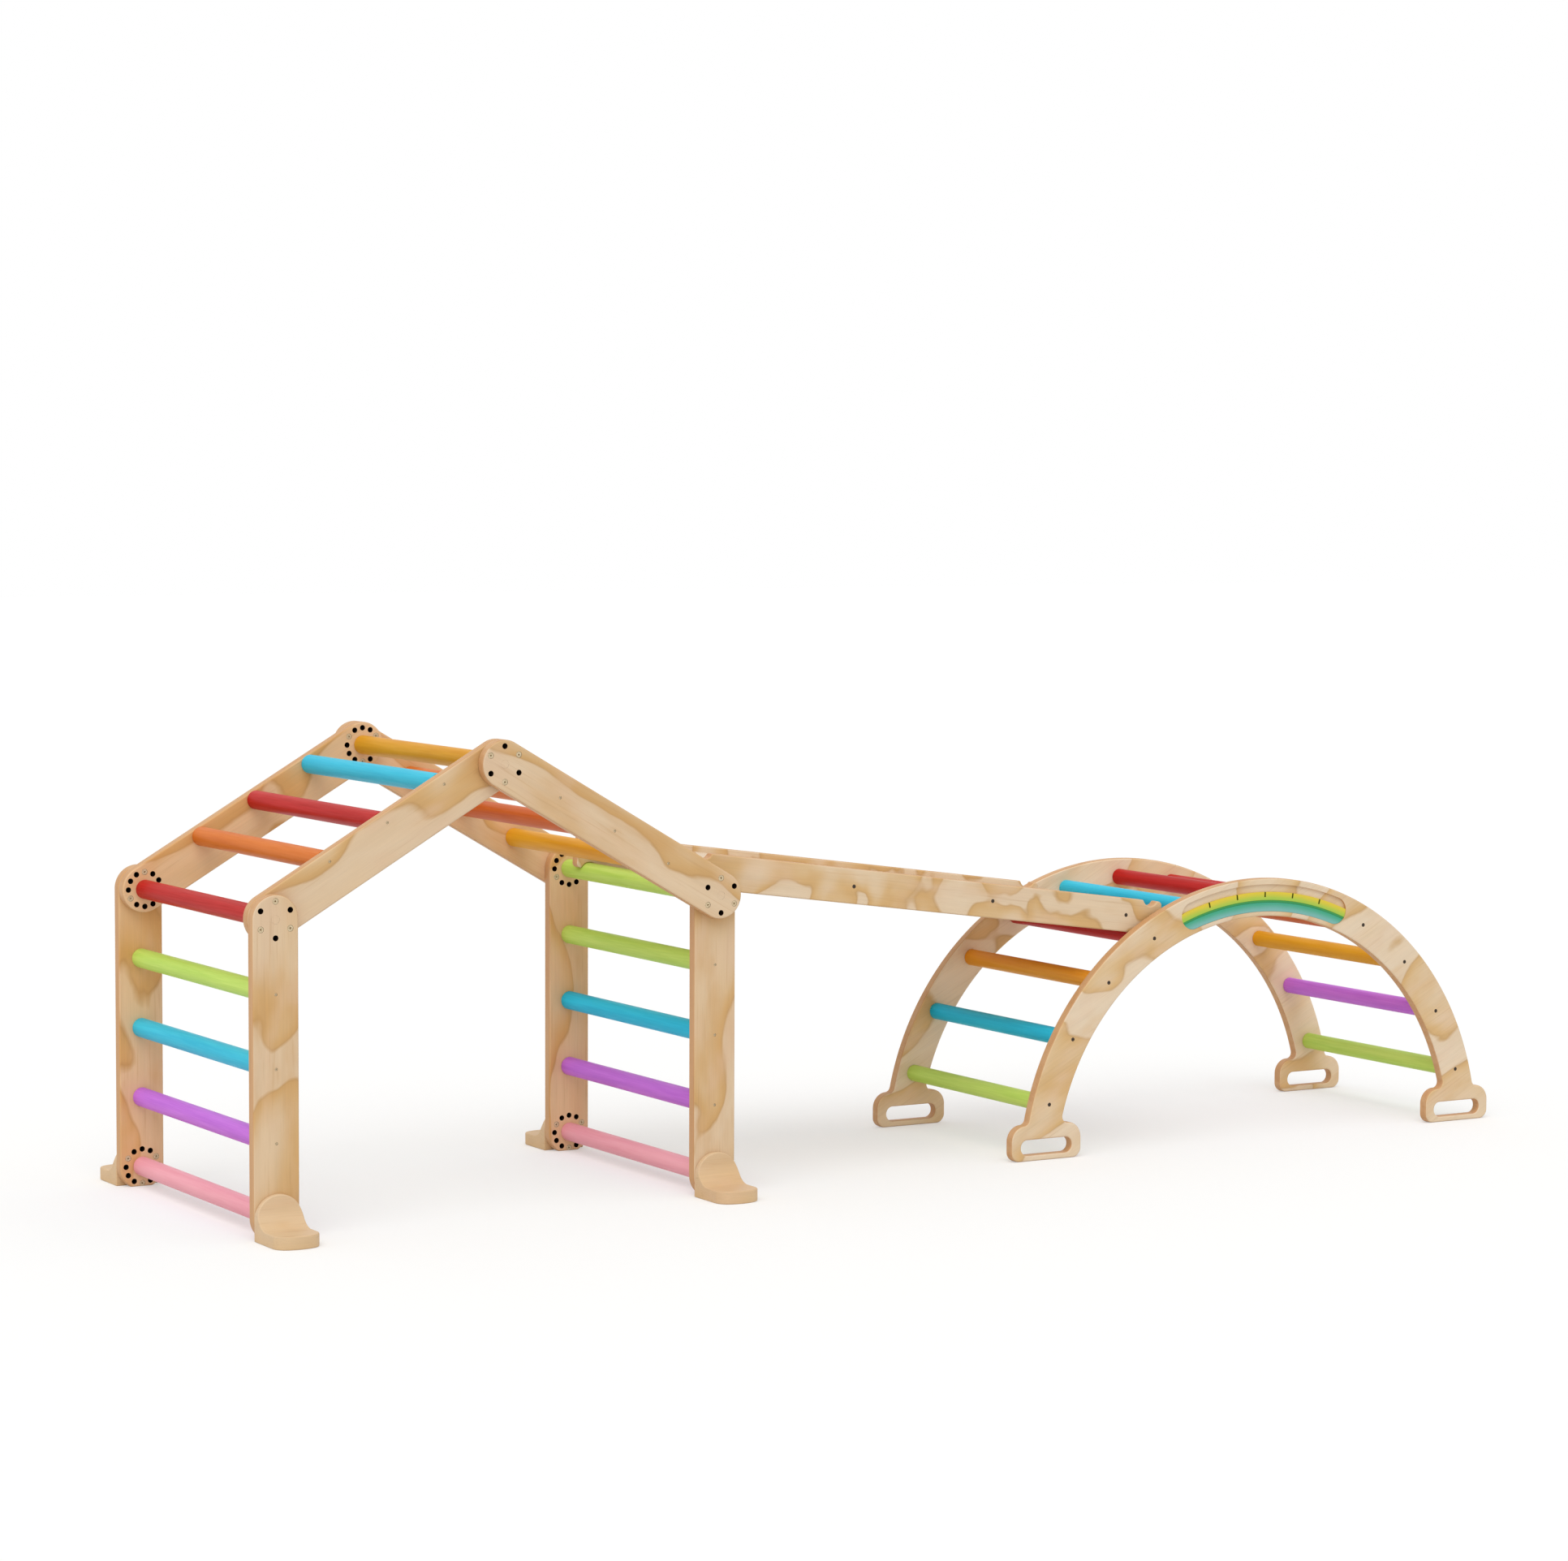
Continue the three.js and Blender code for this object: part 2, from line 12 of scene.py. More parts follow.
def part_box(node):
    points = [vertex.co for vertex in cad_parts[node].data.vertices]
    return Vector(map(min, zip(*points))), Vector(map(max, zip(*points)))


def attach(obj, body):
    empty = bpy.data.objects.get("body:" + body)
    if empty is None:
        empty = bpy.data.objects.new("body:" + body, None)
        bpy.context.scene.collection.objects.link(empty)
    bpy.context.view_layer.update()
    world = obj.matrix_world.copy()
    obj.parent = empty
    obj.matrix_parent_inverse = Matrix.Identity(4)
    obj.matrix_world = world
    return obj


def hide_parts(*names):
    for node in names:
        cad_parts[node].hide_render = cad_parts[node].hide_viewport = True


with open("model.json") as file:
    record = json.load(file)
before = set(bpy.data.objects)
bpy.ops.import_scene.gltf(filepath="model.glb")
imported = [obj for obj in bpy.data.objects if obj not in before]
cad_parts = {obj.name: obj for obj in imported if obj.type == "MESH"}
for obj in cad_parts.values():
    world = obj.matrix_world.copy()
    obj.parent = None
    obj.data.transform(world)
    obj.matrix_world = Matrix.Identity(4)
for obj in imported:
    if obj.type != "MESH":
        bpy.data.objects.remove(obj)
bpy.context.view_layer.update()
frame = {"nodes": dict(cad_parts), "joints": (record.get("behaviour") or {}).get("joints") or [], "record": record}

MM = 0.001
NEAR, FAR = 1, -1
SIDES = ((NEAR, "near"), (FAR, "far"))
X, Y, Z = 0, 1, 2
JOINTS = {joint["name"]: joint for joint in frame["joints"]}
BODY_OF = {node: body for body, nodes in frame["record"]["behaviour"]["bodies"].items()
           for node in nodes}

# Timber sizes, in millimetres like every length here
BOARD_WIDTH = 73
BOARD_ROUND = 3.2
ROUND_STEPS = 4
END_SEGMENTS = 96
HOUSE_DOWEL = 15
ARCH_DOWEL = 14
DOWEL_SEGMENTS = 56
DOWEL_EASE = 0.8
SOFT_ANGLE = 40

# Room between fitted pieces, how much narrower a foot is than its leg on each side, and how
# far a cutter reaches past what it cuts
PLAY = 0.3
HAIR = 0.1
OVERRUN = 5

# Indexing rings round the hinges
RING_RADIUS = 27
RING_HOLE = 4.0
HOLE_EASE = 0.45
HOLE_SEGMENTS = 28

# Index bolts, the plugs over the hinge bolts, and screws: a head's or plug's radius, its
# seat's depth, the room round it and how far it lies below the face
BOLT_HEAD = 4.7
BOLT_DEPTH = 6
BOLT_UNDER = 0.5
BOLT_SOCKET = 1.5
BOLT_GAP = 0.06
BOLT_SINK = 0.1
PLUG_RADIUS = 6.5
PLUG_DEPTH = 5
PLUG_GAP = 0.05
PLUG_EASE = 0.15
PLUG_SEGMENTS = 40
SCREW_HEAD = 3.1
SCREW_SOCKET = 1.4
SCREW_GAP = 0.15
SMALL_SCREW_HEAD = 2.1
SMALL_SCREW_SOCKET = 0.9
SMALL_SCREW_GAP = 0.1
SCREW_DEPTH = 3
SCREW_UNDER = 0.4
SCREW_SINK = 0.15
HEAD_EASE = 0.4
SOCKET_SIDES = 6
SOCKET_SHARE = 0.45

# Feet
FOOT_PLATE = 10
FOOT_REACH = 90
FOOT_BOW = 11
FOOT_CORNER = 24
FOOT_SOLE = 20
FOOT_COVE = 32.5
COVE_STEPS = 20
FOOT_AXIS = 32
FOOT_ROUND = 2.0
FOOT_CREASE = 48

# Arch
ARCH_RADIUS = 444
ARCH_WIDTH = 64
ARCH_DROP = 32.5
HANDLE_OFFSET = 431
HANDLE_LENGTH = 137
HANDLE_HEIGHT = 59
HANDLE_TOP_CORNER = 26
HANDLE_BOTTOM_CORNER = 16
HANDLE_FILLET = 10
SLOT_LENGTH = 99
SLOT_HEIGHT = 25
SLOT_LIFT = 10
CORNER_STEPS = 10
ARC_FINENESS = 24
ARCH_GRAIN = 28

# Striped inlay, its reach and its turn off the top in degrees
RECESS_DEPTH = 4
RECESS_EDGE = 10
RECESS_WIDTH = 46
RECESS_REACH = 19.7
RECESS_TURN = 1.2
RECESS_MARGIN = 6
STRIPE_STEPS = 60
STRIP_THICKNESS = 3
TEAL_WIDTH = 15
GREEN_WIDTH = 4
YELLOW_WIDTH = 14
TICKS = 5
TICK_SPACING = 57
TICK_WIDTH = 3
TICK_LENGTH = 9
TICK_DEPTH = 2

# Ramp
BATTENS = 4
RAIL_RISE = 5
RAIL_HEIGHT = 56
RAIL_OVERHANG = 25
RAIL_CORNER = 8
RAIL_ROUND = 2.6
SEAT_EASE = 3.5
DECK_ROUND = 1.2


# Shader maths written as expressions

class Signal:
    """One output of a shader node. Arithmetic on it adds Math nodes."""

    def __init__(self, finish, socket):
        self.finish = finish
        self.socket = socket

    def math(self, operation, *values):
        return self.finish.node("ShaderNodeMath", {"operation": operation}, values)

    def __add__(self, other):
        return self.math("ADD", self, other)

    def __sub__(self, other):
        return self.math("SUBTRACT", self, other)

    def __rsub__(self, other):
        return self.math("SUBTRACT", other, self)

    def __mul__(self, other):
        return self.math("MULTIPLY", self, other)

    __radd__ = __add__
    __rmul__ = __mul__

    def fraction(self):
        return self.math("FRACT", self)

    def size(self):
        return self.math("ABSOLUTE", self)

    def step(self, low, high):
        """0 below low, 1 above high and smooth between them."""
        return self.finish.node("ShaderNodeMapRange", {"interpolation_type": "SMOOTHSTEP"},
                                {"Value": self, "From Min": low, "From Max": high})


class Finish:
    """A material under construction: node() adds a node and returns one of its outputs."""

    def __init__(self, name, **shader):
        self.material = bpy.data.materials.new(name)
        self.material.use_nodes = True
        self.tree = self.material.node_tree
        self.shader = self.tree.nodes["Principled BSDF"]
        for socket, value in shader.items():
            self.shader.inputs[socket.replace("_", " ")].default_value = value

    def node(self, kind, settings=None, values=(), output=0):
        node = self.tree.nodes.new(kind)
        for name, value in (settings or {}).items():
            if name == "stops":
                self.set_stops(node.color_ramp, value)
            else:
                setattr(node, name, value)
        pairs = values.items() if isinstance(values, dict) else enumerate(values)
        for socket, value in pairs:
            if isinstance(value, Signal):
                self.tree.links.new(value.socket, node.inputs[socket])
            else:
                node.inputs[socket].default_value = value
        return Signal(self, node.outputs[output])

    def set_stops(self, ramp, stops):
        while len(ramp.elements) < len(stops):
            ramp.elements.new(1)
        for element, (place, colour) in zip(ramp.elements, stops):
            element.position = place
            element.color = colour

    def feed(self, **signals):
        for socket, signal in signals.items():
            self.tree.links.new(signal.socket, self.shader.inputs[socket.replace("_", " ")])

    def place(self, turn=0, shift=(0, 0, 0)):
        """Object coordinates turned about Y, so that X runs along a leaning piece."""
        point = self.node("ShaderNodeTexCoord", output="Object")
        return self.node("ShaderNodeMapping", None,
                         {"Vector": point, "Rotation": (0, turn, 0), "Location": shift})

    def stretch(self, point, scale):
        return self.node("ShaderNodeVectorMath", {"operation": "MULTIPLY"}, (point, scale))

    def noise(self, point, scale, detail=2, roughness=0.5, distortion=0):
        """Noise with a number of waves in a metre, or one number for each axis."""
        if isinstance(scale, tuple):
            point, scale = self.stretch(point, scale), 1.0
        return self.node("ShaderNodeTexNoise", None, {
            "Vector": point, "Scale": scale, "Detail": detail, "Roughness": roughness,
            "Distortion": distortion})

    def mix(self, share, first, second, blend="MIX"):
        return self.node("ShaderNodeMix", {"data_type": "RGBA", "blend_type": blend},
                         {"Factor": share, 6: first, 7: second}, output=2)

    def bump(self, height, strength, distance):
        return self.node("ShaderNodeBump", None,
                         {"Height": height, "Strength": strength, "Distance": distance})


# How the rings run on a piece: how far they wander, rings per metre across the piece, metres
# from its middle to a ring, and waves per metre along it
BLOCK_FIGURE = (0.4, 3.0, -0.07, 5)
LEG_FIGURE = (3.0, 3.0, 0.0, 4)
LEFT_ROOF_FIGURE = (1.8, 8.0, 0.014, 5)
RIGHT_ROOF_FIGURE = (1.8, -8.0, -0.020, 5)
ARCH_FIGURE = (2.8, 0.0, 0.0, 5)
RAIL_FIGURE = (2.2, 0.0, 0.0, 12)

# Where in the pattern the far and the near board are cut, and the blocks, from a first one on
ARCH_SEEDS = (12, 21)
RAIL_SEEDS = (43, 50)
FOOT_SEED = 20
BATTEN_SEED = 30
DECK_SEED = 36

# Tones that the colour of a board's faces is multiplied by; the far boards' tones are painted light
PALE_TONE = (1.0, 1.0, 1.0, 1)
# Painted warm bounce light and shade on the far boards of the house
PAINTED_BOUNCE_TONE = (1.10, 0.98, 0.85, 1)
BLEACHED_TONE = (1.07, 1.14, 1.24, 1)
# Painted light that brightens the far arch board's shaded faces
PAINTED_LIGHT_TONE = (1.17, 1.22, 1.30, 1)
RAIL_TONE = (1.03, 1.07, 1.12, 1)

# Tints of the face from one ring to the next, and one ply's thickness
RING_TINTS = [(0.0, "c69c66"), (0.02, "d0a66e"), (0.06, "d3a971"), (0.15, "d7b17e"),
              (0.28, "dbba8f"), (0.45, "dfc29d"), (0.75, "e1c7a6"), (0.95, "dfc3a0"),
              (1.0, "c69c66")]
PLY = 2.8


def colour(code):
    """A colour as it is seen on a screen, such as dcb78c, as linear light."""
    shares = [int(code[i:i + 2], 16) / 255 for i in (0, 2, 4)]
    return tuple(s / 12.92 if s <= 0.04045 else ((s + 0.055) / 1.055) ** 2.4
                 for s in shares) + (1,)


def birch(name, seed, lean=0.0, face_axis=Y, home=(0, 0, 0), figure=BLOCK_FIGURE,
          tone=PALE_TONE):
    """Varnished birch ply, peeled so that its rings run out in broad, soft, wavy figures.
    The edges show the layers, and a face_axis of None is for a solid block without them."""
    finish = Finish(name, Specular_IOR_Level=0.25, Coat_Weight=0.05, Coat_Roughness=0.35)
    wander, drift, middle, waves = figure
    board = finish.place(lean, home)
    across = finish.node("ShaderNodeSeparateXYZ", None, (board,), output=Z)
    point = finish.node("ShaderNodeVectorMath", {"operation": "ADD"},
                        (board, (seed * 1.37, seed * 0.61, seed * 0.83)))
    flow = finish.noise(point, (waves, 2.0, 9.0), 2, 0.3, 0.5)
    waver = finish.noise(point, (22, 9, 46))
    rings = ((flow - 0.5) * wander + (across - middle) * drift + waver * 0.09).fraction()
    face = finish.node("ShaderNodeValToRGB", {
        "stops": [(place, colour(code)) for place, code in RING_TINTS]}, (rings,))
    cloud = finish.noise(point, (8, 8, 20), 3)
    face = finish.mix(cloud.step(0.48, 0.76) * 0.45, face, colour("cf9f63"))
    blush = finish.noise(point, (11, 5, 26))
    face = finish.mix(blush.step(0.45, 0.75) * 0.5, face, colour("dfbd9c"))
    thread = finish.noise(point, (10, 60, 300))
    face = finish.mix(thread.step(0.58, 0.78) * 0.3, face, colour("bd9160"))
    fibre = finish.noise(point, (14, 300, 420), 3, 0.6)
    streak = finish.noise(point, (3, 40, 70))
    face = finish.mix(1.0, face, 0.87 + fibre * 0.14 + streak * 0.12, "MULTIPLY")
    # Some far boards' tones are painted light: a painted warm bounce, or painted light on a shaded face
    face = finish.mix(1.0, face, tone, "MULTIPLY")
    if face_axis is not None:
        normal = finish.node("ShaderNodeTexCoord", output="Normal")
        facing = finish.node("ShaderNodeSeparateXYZ", None, (normal,), output=face_axis)
        edge = 1 - facing.size().step(0.35, 0.85)
        layer = finish.node("ShaderNodeSeparateXYZ", None, (point,), output=face_axis)
        plies = (layer * (1 / (PLY * MM))).fraction()
        ply = (plies - 0.5).size().step(0.2, 0.3)
        side = finish.mix(ply, colour("d6a878"), colour("c48e5c"))
        side = finish.mix(streak.step(0.4, 0.65) * 0.4, side, colour("dcb487"))
        face = finish.mix(edge, face, side)
    finish.feed(
        Base_Color=face,
        Roughness=0.42 + fibre * 0.16,
        Normal=finish.bump(fibre, 0.12, 0.0004),
    )
    return finish.material


def stain(name, code, deep, seed):
    """Coloured stain on a turned dowel: long faint streaks under satin varnish."""
    finish = Finish(name, Specular_IOR_Level=0.12)
    point = finish.place(0, (seed * 0.71, seed * 1.13, seed * 0.37))
    streak = finish.noise(point, (60, 3.2, 60), 3, 0.55)
    fibre = finish.noise(point, (420, 14, 420), 2, 0.6)
    share = (streak * 0.75 + fibre * 0.35).step(0.34, 0.78)
    finish.feed(
        Base_Color=finish.mix(share, colour(code), colour(deep)),
        Roughness=0.34 + fibre * 0.18,
        Normal=finish.bump(fibre, 0.08, 0.0003),
    )
    return finish.material


def metal(name, code, worn, rough):
    """Plated steel, speckled with wear."""
    finish = Finish(name, Metallic=0.4)
    wear = finish.noise(finish.place(), 700, 2, 0.6)
    finish.feed(
        Base_Color=finish.mix(wear.step(0.38, 0.62), colour(code), colour(worn)),
        Roughness=rough + wear * 0.2,
        Normal=finish.bump(wear, 0.2, 0.0003),
    )
    return finish.material


def stripe(name, inner, outer, centre, start, width):
    """Matt lacquer on an inlaid stripe that shades from its inner to its outer edge."""
    finish = Finish(name, Specular_IOR_Level=0.15)
    point = finish.place(0, (-centre.x, 0, -centre.y))
    cloud = finish.noise(point, (14, 1, 14))
    speck = finish.noise(point, 700)
    flat = finish.stretch(point, (1, 0, 1))
    reach = finish.node("ShaderNodeVectorMath", {"operation": "LENGTH"}, (flat,), output=1)
    share = (reach - start) * (1 / width) + (cloud - 0.5) * 0.5
    finish.feed(
        Base_Color=finish.mix(share.step(0.0, 1.0), colour(inner), colour(outer)),
        Roughness=0.42 + speck * 0.2,
        Normal=finish.bump(speck, 0.06, 0.0003),
    )
    return finish.material


def shadow(name, code):
    """Painted shade: the rough dark walls of a bore or a cut, mottled by the tool."""
    finish = Finish(name, Roughness=0.9, Specular_IOR_Level=0.1)
    tooling = finish.noise(finish.place(), 600)
    finish.feed(Base_Color=finish.mix(tooling * 0.5, colour(code), (0, 0, 0, 1)))
    return finish.material


# Shapes. Each function returns a bmesh in millimetres.

def held(shape):
    """An object with two material slots, timber and bore, that holds a shape."""
    mesh = bpy.data.meshes.new("work")
    shape.to_mesh(mesh)
    shape.free()
    for _ in range(2):
        mesh.materials.append(None)
    thing = bpy.data.objects.new("work", mesh)
    bpy.context.scene.collection.objects.link(thing)
    return thing


def gathered(shapes):
    """Several shapes as one."""
    whole = bmesh.new()
    for shape in shapes:
        mesh = bpy.data.meshes.new("loose")
        shape.to_mesh(mesh)
        shape.free()
        whole.from_mesh(mesh)
        bpy.data.meshes.remove(mesh)
    return whole


def carved(shape, tools, operation="DIFFERENCE"):
    """The shape with the tools cut out of it, joined to it or kept where they overlap."""
    body, tool = held(shape), held(gathered(tools))
    carve = body.modifiers.new("carve", "BOOLEAN")
    carve.object, carve.operation, carve.solver = tool, operation, "EXACT"
    graph = bpy.context.evaluated_depsgraph_get()
    result = bpy.data.meshes.new_from_object(body.evaluated_get(graph))
    out = bmesh.new()
    out.from_mesh(result)
    for thing in (body, tool):
        mesh = thing.data
        bpy.data.objects.remove(thing)
        bpy.data.meshes.remove(mesh)
    bpy.data.meshes.remove(result)
    return out


def thickened(sheet, low, high):
    """A flat sheet in X and Y made into a plate between two heights."""
    bmesh.ops.translate(sheet, verts=sheet.verts[:], vec=(0, 0, low))
    grown = bmesh.ops.extrude_face_region(sheet, geom=sheet.faces[:])["geom"]
    moved = [part for part in grown if isinstance(part, bmesh.types.BMVert)]
    bmesh.ops.translate(sheet, verts=moved, vec=(0, 0, high - low))
    bmesh.ops.recalc_face_normals(sheet, faces=sheet.faces[:])
    return sheet


def rounded(shape, radius, flat_only=True, angle=50, steps=ROUND_STEPS):
    """Rounds a plate's rims over, or every sharp edge of a shape."""
    sharp = [edge for edge in shape.edges if len(edge.link_faces) == 2
             and edge.calc_face_angle() > math.radians(angle)
             and (not flat_only or any(abs(f.normal.z) > 0.99 for f in edge.link_faces))]
    bmesh.ops.bevel(shape, geom=sharp, offset=radius, offset_type="OFFSET", segments=steps,
                    profile=0.5, affect="EDGES", material=-1, clamp_overlap=False)
    return shape


def outlined(arcs):
    """A flat sheet inside arcs of (x, y, radius, start, turn in degrees) joined by lines."""
    sheet = bmesh.new()
    ends = []
    for x, y, radius, start, turn in arcs:
        angle = math.radians(start)
        first = last = sheet.verts.new((x + radius * math.cos(angle),
                                        y + radius * math.sin(angle), 0))
        if turn:
            steps = math.ceil(abs(turn) * math.sqrt(radius) / ARC_FINENESS)
            last = bmesh.ops.spin(sheet, geom=[first], cent=(x, y, 0), axis=(0, 0, 1),
                                  angle=math.radians(turn), steps=steps)["geom_last"][0]
        ends.append((first, last))
    for (_, last), (first, _) in zip(ends, ends[1:] + ends[:1]):
        sheet.edges.new((last, first))
    bmesh.ops.remove_doubles(sheet, verts=sheet.verts[:], dist=1e-3)
    bmesh.ops.contextual_create(sheet, geom=sheet.edges[:])
    return sheet


def flattened(shape):
    """Joins the faces that lie in one plane."""
    bmesh.ops.dissolve_limit(shape, angle_limit=math.radians(0.3), verts=shape.verts[:],
                             edges=shape.edges[:], use_dissolve_boundaries=False)
    return shape


def turned(profile, steps=HOLE_SEGMENTS):
    """A turned piece about Z from (radius, height) points that start and end on the axis."""
    shape = bmesh.new()
    points = [shape.verts.new((radius, 0, height)) for radius, height in profile]
    edges = [shape.edges.new(pair) for pair in zip(points, points[1:])]
    bmesh.ops.spin(shape, geom=points + edges, cent=(0, 0, 0), axis=(0, 0, 1),
                   angle=2 * math.pi, steps=steps, use_merge=True)
    bmesh.ops.remove_doubles(shape, verts=shape.verts[:], dist=1e-4)
    bmesh.ops.recalc_face_normals(shape, faces=shape.faces[:])
    return shape


def moved(shape, x=0, y=0, z=0):
    bmesh.ops.translate(shape, verts=shape.verts[:], vec=(x, y, z))
    return shape


def spun(shape, angle, axis="Z"):
    bmesh.ops.transform(shape, verts=shape.verts[:], matrix=Matrix.Rotation(angle, 4, axis))
    return shape


def mouth(radius, ease, steps, height, way):
    """The lathe points of a hole's rounded mouth at a height, from its throat outwards."""
    angles = [math.radians(90 * i / steps) for i in range(steps, -1, -1)]
    return [(radius + ease * (1 - math.sin(a)), height - way * ease * (1 - math.cos(a)))
            for a in angles]


def bore(x, y, radius, low, high, ease=HOLE_EASE, steps=1, length=0, dark=True):
    """A cutter for a round or long hole between two heights, with its mouths eased."""
    wide = radius + ease
    shape = turned([(0, low - 1), (wide, low - 1), *reversed(mouth(radius, ease, steps, low, -1)),
                    *mouth(radius, ease, steps, high, 1), (wide, high + 1), (0, high + 1)],
                   HOLE_SEGMENTS * (2 if length else 1))
    if length:
        spun(shape, math.pi / HOLE_SEGMENTS / 2)
        bmesh.ops.translate(shape, verts=[v for v in shape.verts if v.co.x > 1e-3],
                            vec=(length, 0, 0))
    # A dark bore's walls take the painted shade
    for face in shape.faces:
        face.material_index = dark
    return moved(shape, x - length / 2, y)


def seat(x, y, radius, face, depth, side):
    """A cutter for a blind hole in the outer or inner face of a board."""
    low, high = sorted((face - side * depth, face + side))
    shape = turned([(0, low), (radius, low), (radius, high), (0, high)])
    # The seat's walls take the painted shade
    for part in shape.faces:
        part.material_index = 1
    return moved(shape, x, y)


def disc(radius, low, high, segments):
    shape = bmesh.new()
    bmesh.ops.create_cone(shape, cap_ends=True, segments=segments, radius1=radius,
                          radius2=radius, depth=high - low)
    return moved(shape, z=(low + high) / 2)


def brick(low, high):
    shape = bmesh.new()
    bmesh.ops.create_cube(shape, size=1)
    bmesh.ops.scale(shape, verts=shape.verts[:], vec=Vector(high) - Vector(low))
    middle = (Vector(high) + Vector(low)) / 2
    return moved(shape, *middle)


def eased_sheet(x, low, length, height, corner):
    """A flat rectangle standing on Y = low with rounded corners."""
    sheet = bmesh.new()
    bmesh.ops.create_grid(sheet, x_segments=1, y_segments=1, size=0.5)
    bmesh.ops.scale(sheet, verts=sheet.verts[:], vec=(length, height, 1))
    bmesh.ops.bevel(sheet, geom=sheet.verts[:], offset=corner, offset_type="OFFSET",
                    segments=CORNER_STEPS, profile=0.5, affect="VERTICES", material=-1)
    return moved(sheet, x, low + height / 2)


def bow(inner, outer, reach, steps):
    """A flat curved band about the origin, to a number of degrees on each side of Y."""
    sheet = bmesh.new()
    ends = [sheet.verts.new((radius, 0, 0)) for radius in (inner, outer)]
    edge = sheet.edges.new(ends)
    spun(sheet, math.radians(90 - reach))
    bmesh.ops.spin(sheet, geom=ends + [edge], cent=(0, 0, 0), axis=(0, 0, 1),
                   angle=math.radians(2 * reach), steps=steps)
    return sheet


# Putting pieces in their places

def side_frame(x, z, lean=0.0, y=0.0):
    """X along a leaning piece, Y across it and Z towards the near side of the set."""
    along = Vector((math.cos(lean), 0, math.sin(lean)))
    across = Vector((-math.sin(lean), 0, math.cos(lean)))
    matrix = Matrix((along, across, Vector((0, -1, 0)))).transposed().to_4x4()
    matrix.translation = Vector((x, y, z))
    return Matrix.Scale(MM, 4) @ matrix


def set_in(name, shape, where, finishes, body, stands_for=()):
    """Makes a shape a piece of the object, in its place and on its body."""
    mesh = bpy.data.meshes.new(name)
    bmesh.ops.transform(shape, verts=shape.verts[:], matrix=where)
    shape.to_mesh(mesh)
    shape.free()
    mesh.shade_smooth()
    mesh.set_sharp_from_angle(angle=math.radians(SOFT_ANGLE))
    for finish in finishes:
        mesh.materials.append(finish)
    piece = bpy.data.objects.new(name, mesh)
    bpy.context.scene.collection.objects.link(piece)
    even = piece.modifiers.new("even light", "WEIGHTED_NORMAL")
    even.keep_sharp = True
    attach(piece, body)
    if stands_for:
        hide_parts(*stands_for)
    return piece


def span(node, axis):
    """Where a node starts and ends along an axis, in millimetres."""
    low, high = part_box(node)
    return low[axis] / MM, high[axis] / MM


def middle_of(node):
    """Where a node's middle is along X and Z, in millimetres."""
    return sum(span(node, X)) / 2, sum(span(node, Z)) / 2


def pivot(name):
    """A joint's place along X and Z, in millimetres."""
    x, _, z = JOINTS[name]["pos_m"]
    return Vector((x / MM, z / MM))


def home(start, lean):
    """The shift that brings a turned piece's own origin to zero, in metres."""
    turned_start = Matrix.Rotation(-lean, 2) @ start
    return (-turned_start.x * MM, 0, -turned_start.y * MM)


def board_heights(node):
    """A board's lower and upper face along its frame's Z, which points to the near side."""
    low, high = span(node, Y)
    return -high, -low


# Finishes that several pieces share

# Painted shade for the walls of bores and seats, and for the walls of the ticks cut into the yellow stripe
BORE = shadow("bore_shadow", "2a1a10")
TICK_SHADOW = shadow("tick_shadow", "6f7a2a")
NICKEL = metal("nickel_heads", "dfcca9", "c0ab88", 0.5)
BRONZED = metal("bronzed_screws", "5a4c40", "3a322b", 0.4)

STAINS = {shade: stain("stain_" + shade, code, deep, number)
          for number, (shade, code, deep) in enumerate([
              ("red", "c9201c", "b21814"), ("lime", "cfe972", "b5d95a"),
              ("blue", "28cbec", "1ab5da"), ("sky", "3ecce7", "2ab8d9"),
              ("purple", "d57be6", "bf65d6"), ("pink", "f9b1bb", "f09dab"),
              ("orange", "e17d2d", "d26a1e"), ("tawny", "f6a833", "ea921f"),
              ("amber", "e8a725", "d99418"), ("vermilion", "d46824", "c2561b")])}

# Dowels whose stain isn't the one that their name gives, and a stain that shares a slot
OWN_STAIN = {"arch_rung_3_orange": "tawny", "arch_rung_7_vermilion": "red"}


def fit_dowel(node):
    """A round dowel in place of a node."""
    radius = ARCH_DOWEL if node.startswith("arch") else HOUSE_DOWEL
    start, end = span(node, Y)
    shape = rounded(disc(radius, -end, -start, DOWEL_SEGMENTS), DOWEL_EASE, steps=2)
    shade = OWN_STAIN.get(node, node.rsplit("_", 1)[1])
    set_in("dowel_" + node, shape, side_frame(*middle_of(node)), [STAINS[shade]], BODY_OF[node],
           [node])


def socket_head(radius, depth, socket):
    """A flush head with a six-sided socket, its face at Z = 0."""
    head = turned([(0, -depth), (radius, -depth), (radius, -HEAD_EASE), (radius - HEAD_EASE, 0),
                   (0, 0)])
    return carved(head, [disc(socket, -SOCKET_SHARE * depth, 1, SOCKET_SIDES)])


def hinge_plug():
    """A flat wooden plug with a fine bevel, its face at Z = 0."""
    return turned([(0, PLAY - PLUG_DEPTH), (PLUG_RADIUS, PLAY - PLUG_DEPTH),
                   (PLUG_RADIUS, -PLUG_EASE), (PLUG_RADIUS - PLUG_EASE, 0), (0, 0)],
                  PLUG_SEGMENTS)


def copies(make, places, face, side):
    """One mesh of several heads on a face, each turned to look out of it."""
    shapes = []
    for x, y in places:
        shape = make()
        if side < 0:
            spun(shape, math.pi, "X")
        shapes.append(moved(shape, x, y, face))
    return gathered(shapes)


def screw_seats(places, face, side, radius=SCREW_HEAD + SCREW_GAP):
    """Cutters for the blind holes of screws."""
    return [seat(x, y, radius, face, SCREW_DEPTH, side) for x, y in places]


def screw_heads(places, face, side, radius=SCREW_HEAD, socket=SCREW_SOCKET):
    """Screw heads that lie a little below a face."""
    return copies(lambda: socket_head(radius, SCREW_DEPTH - SCREW_UNDER, socket), places,
                  face - side * SCREW_SINK, side)


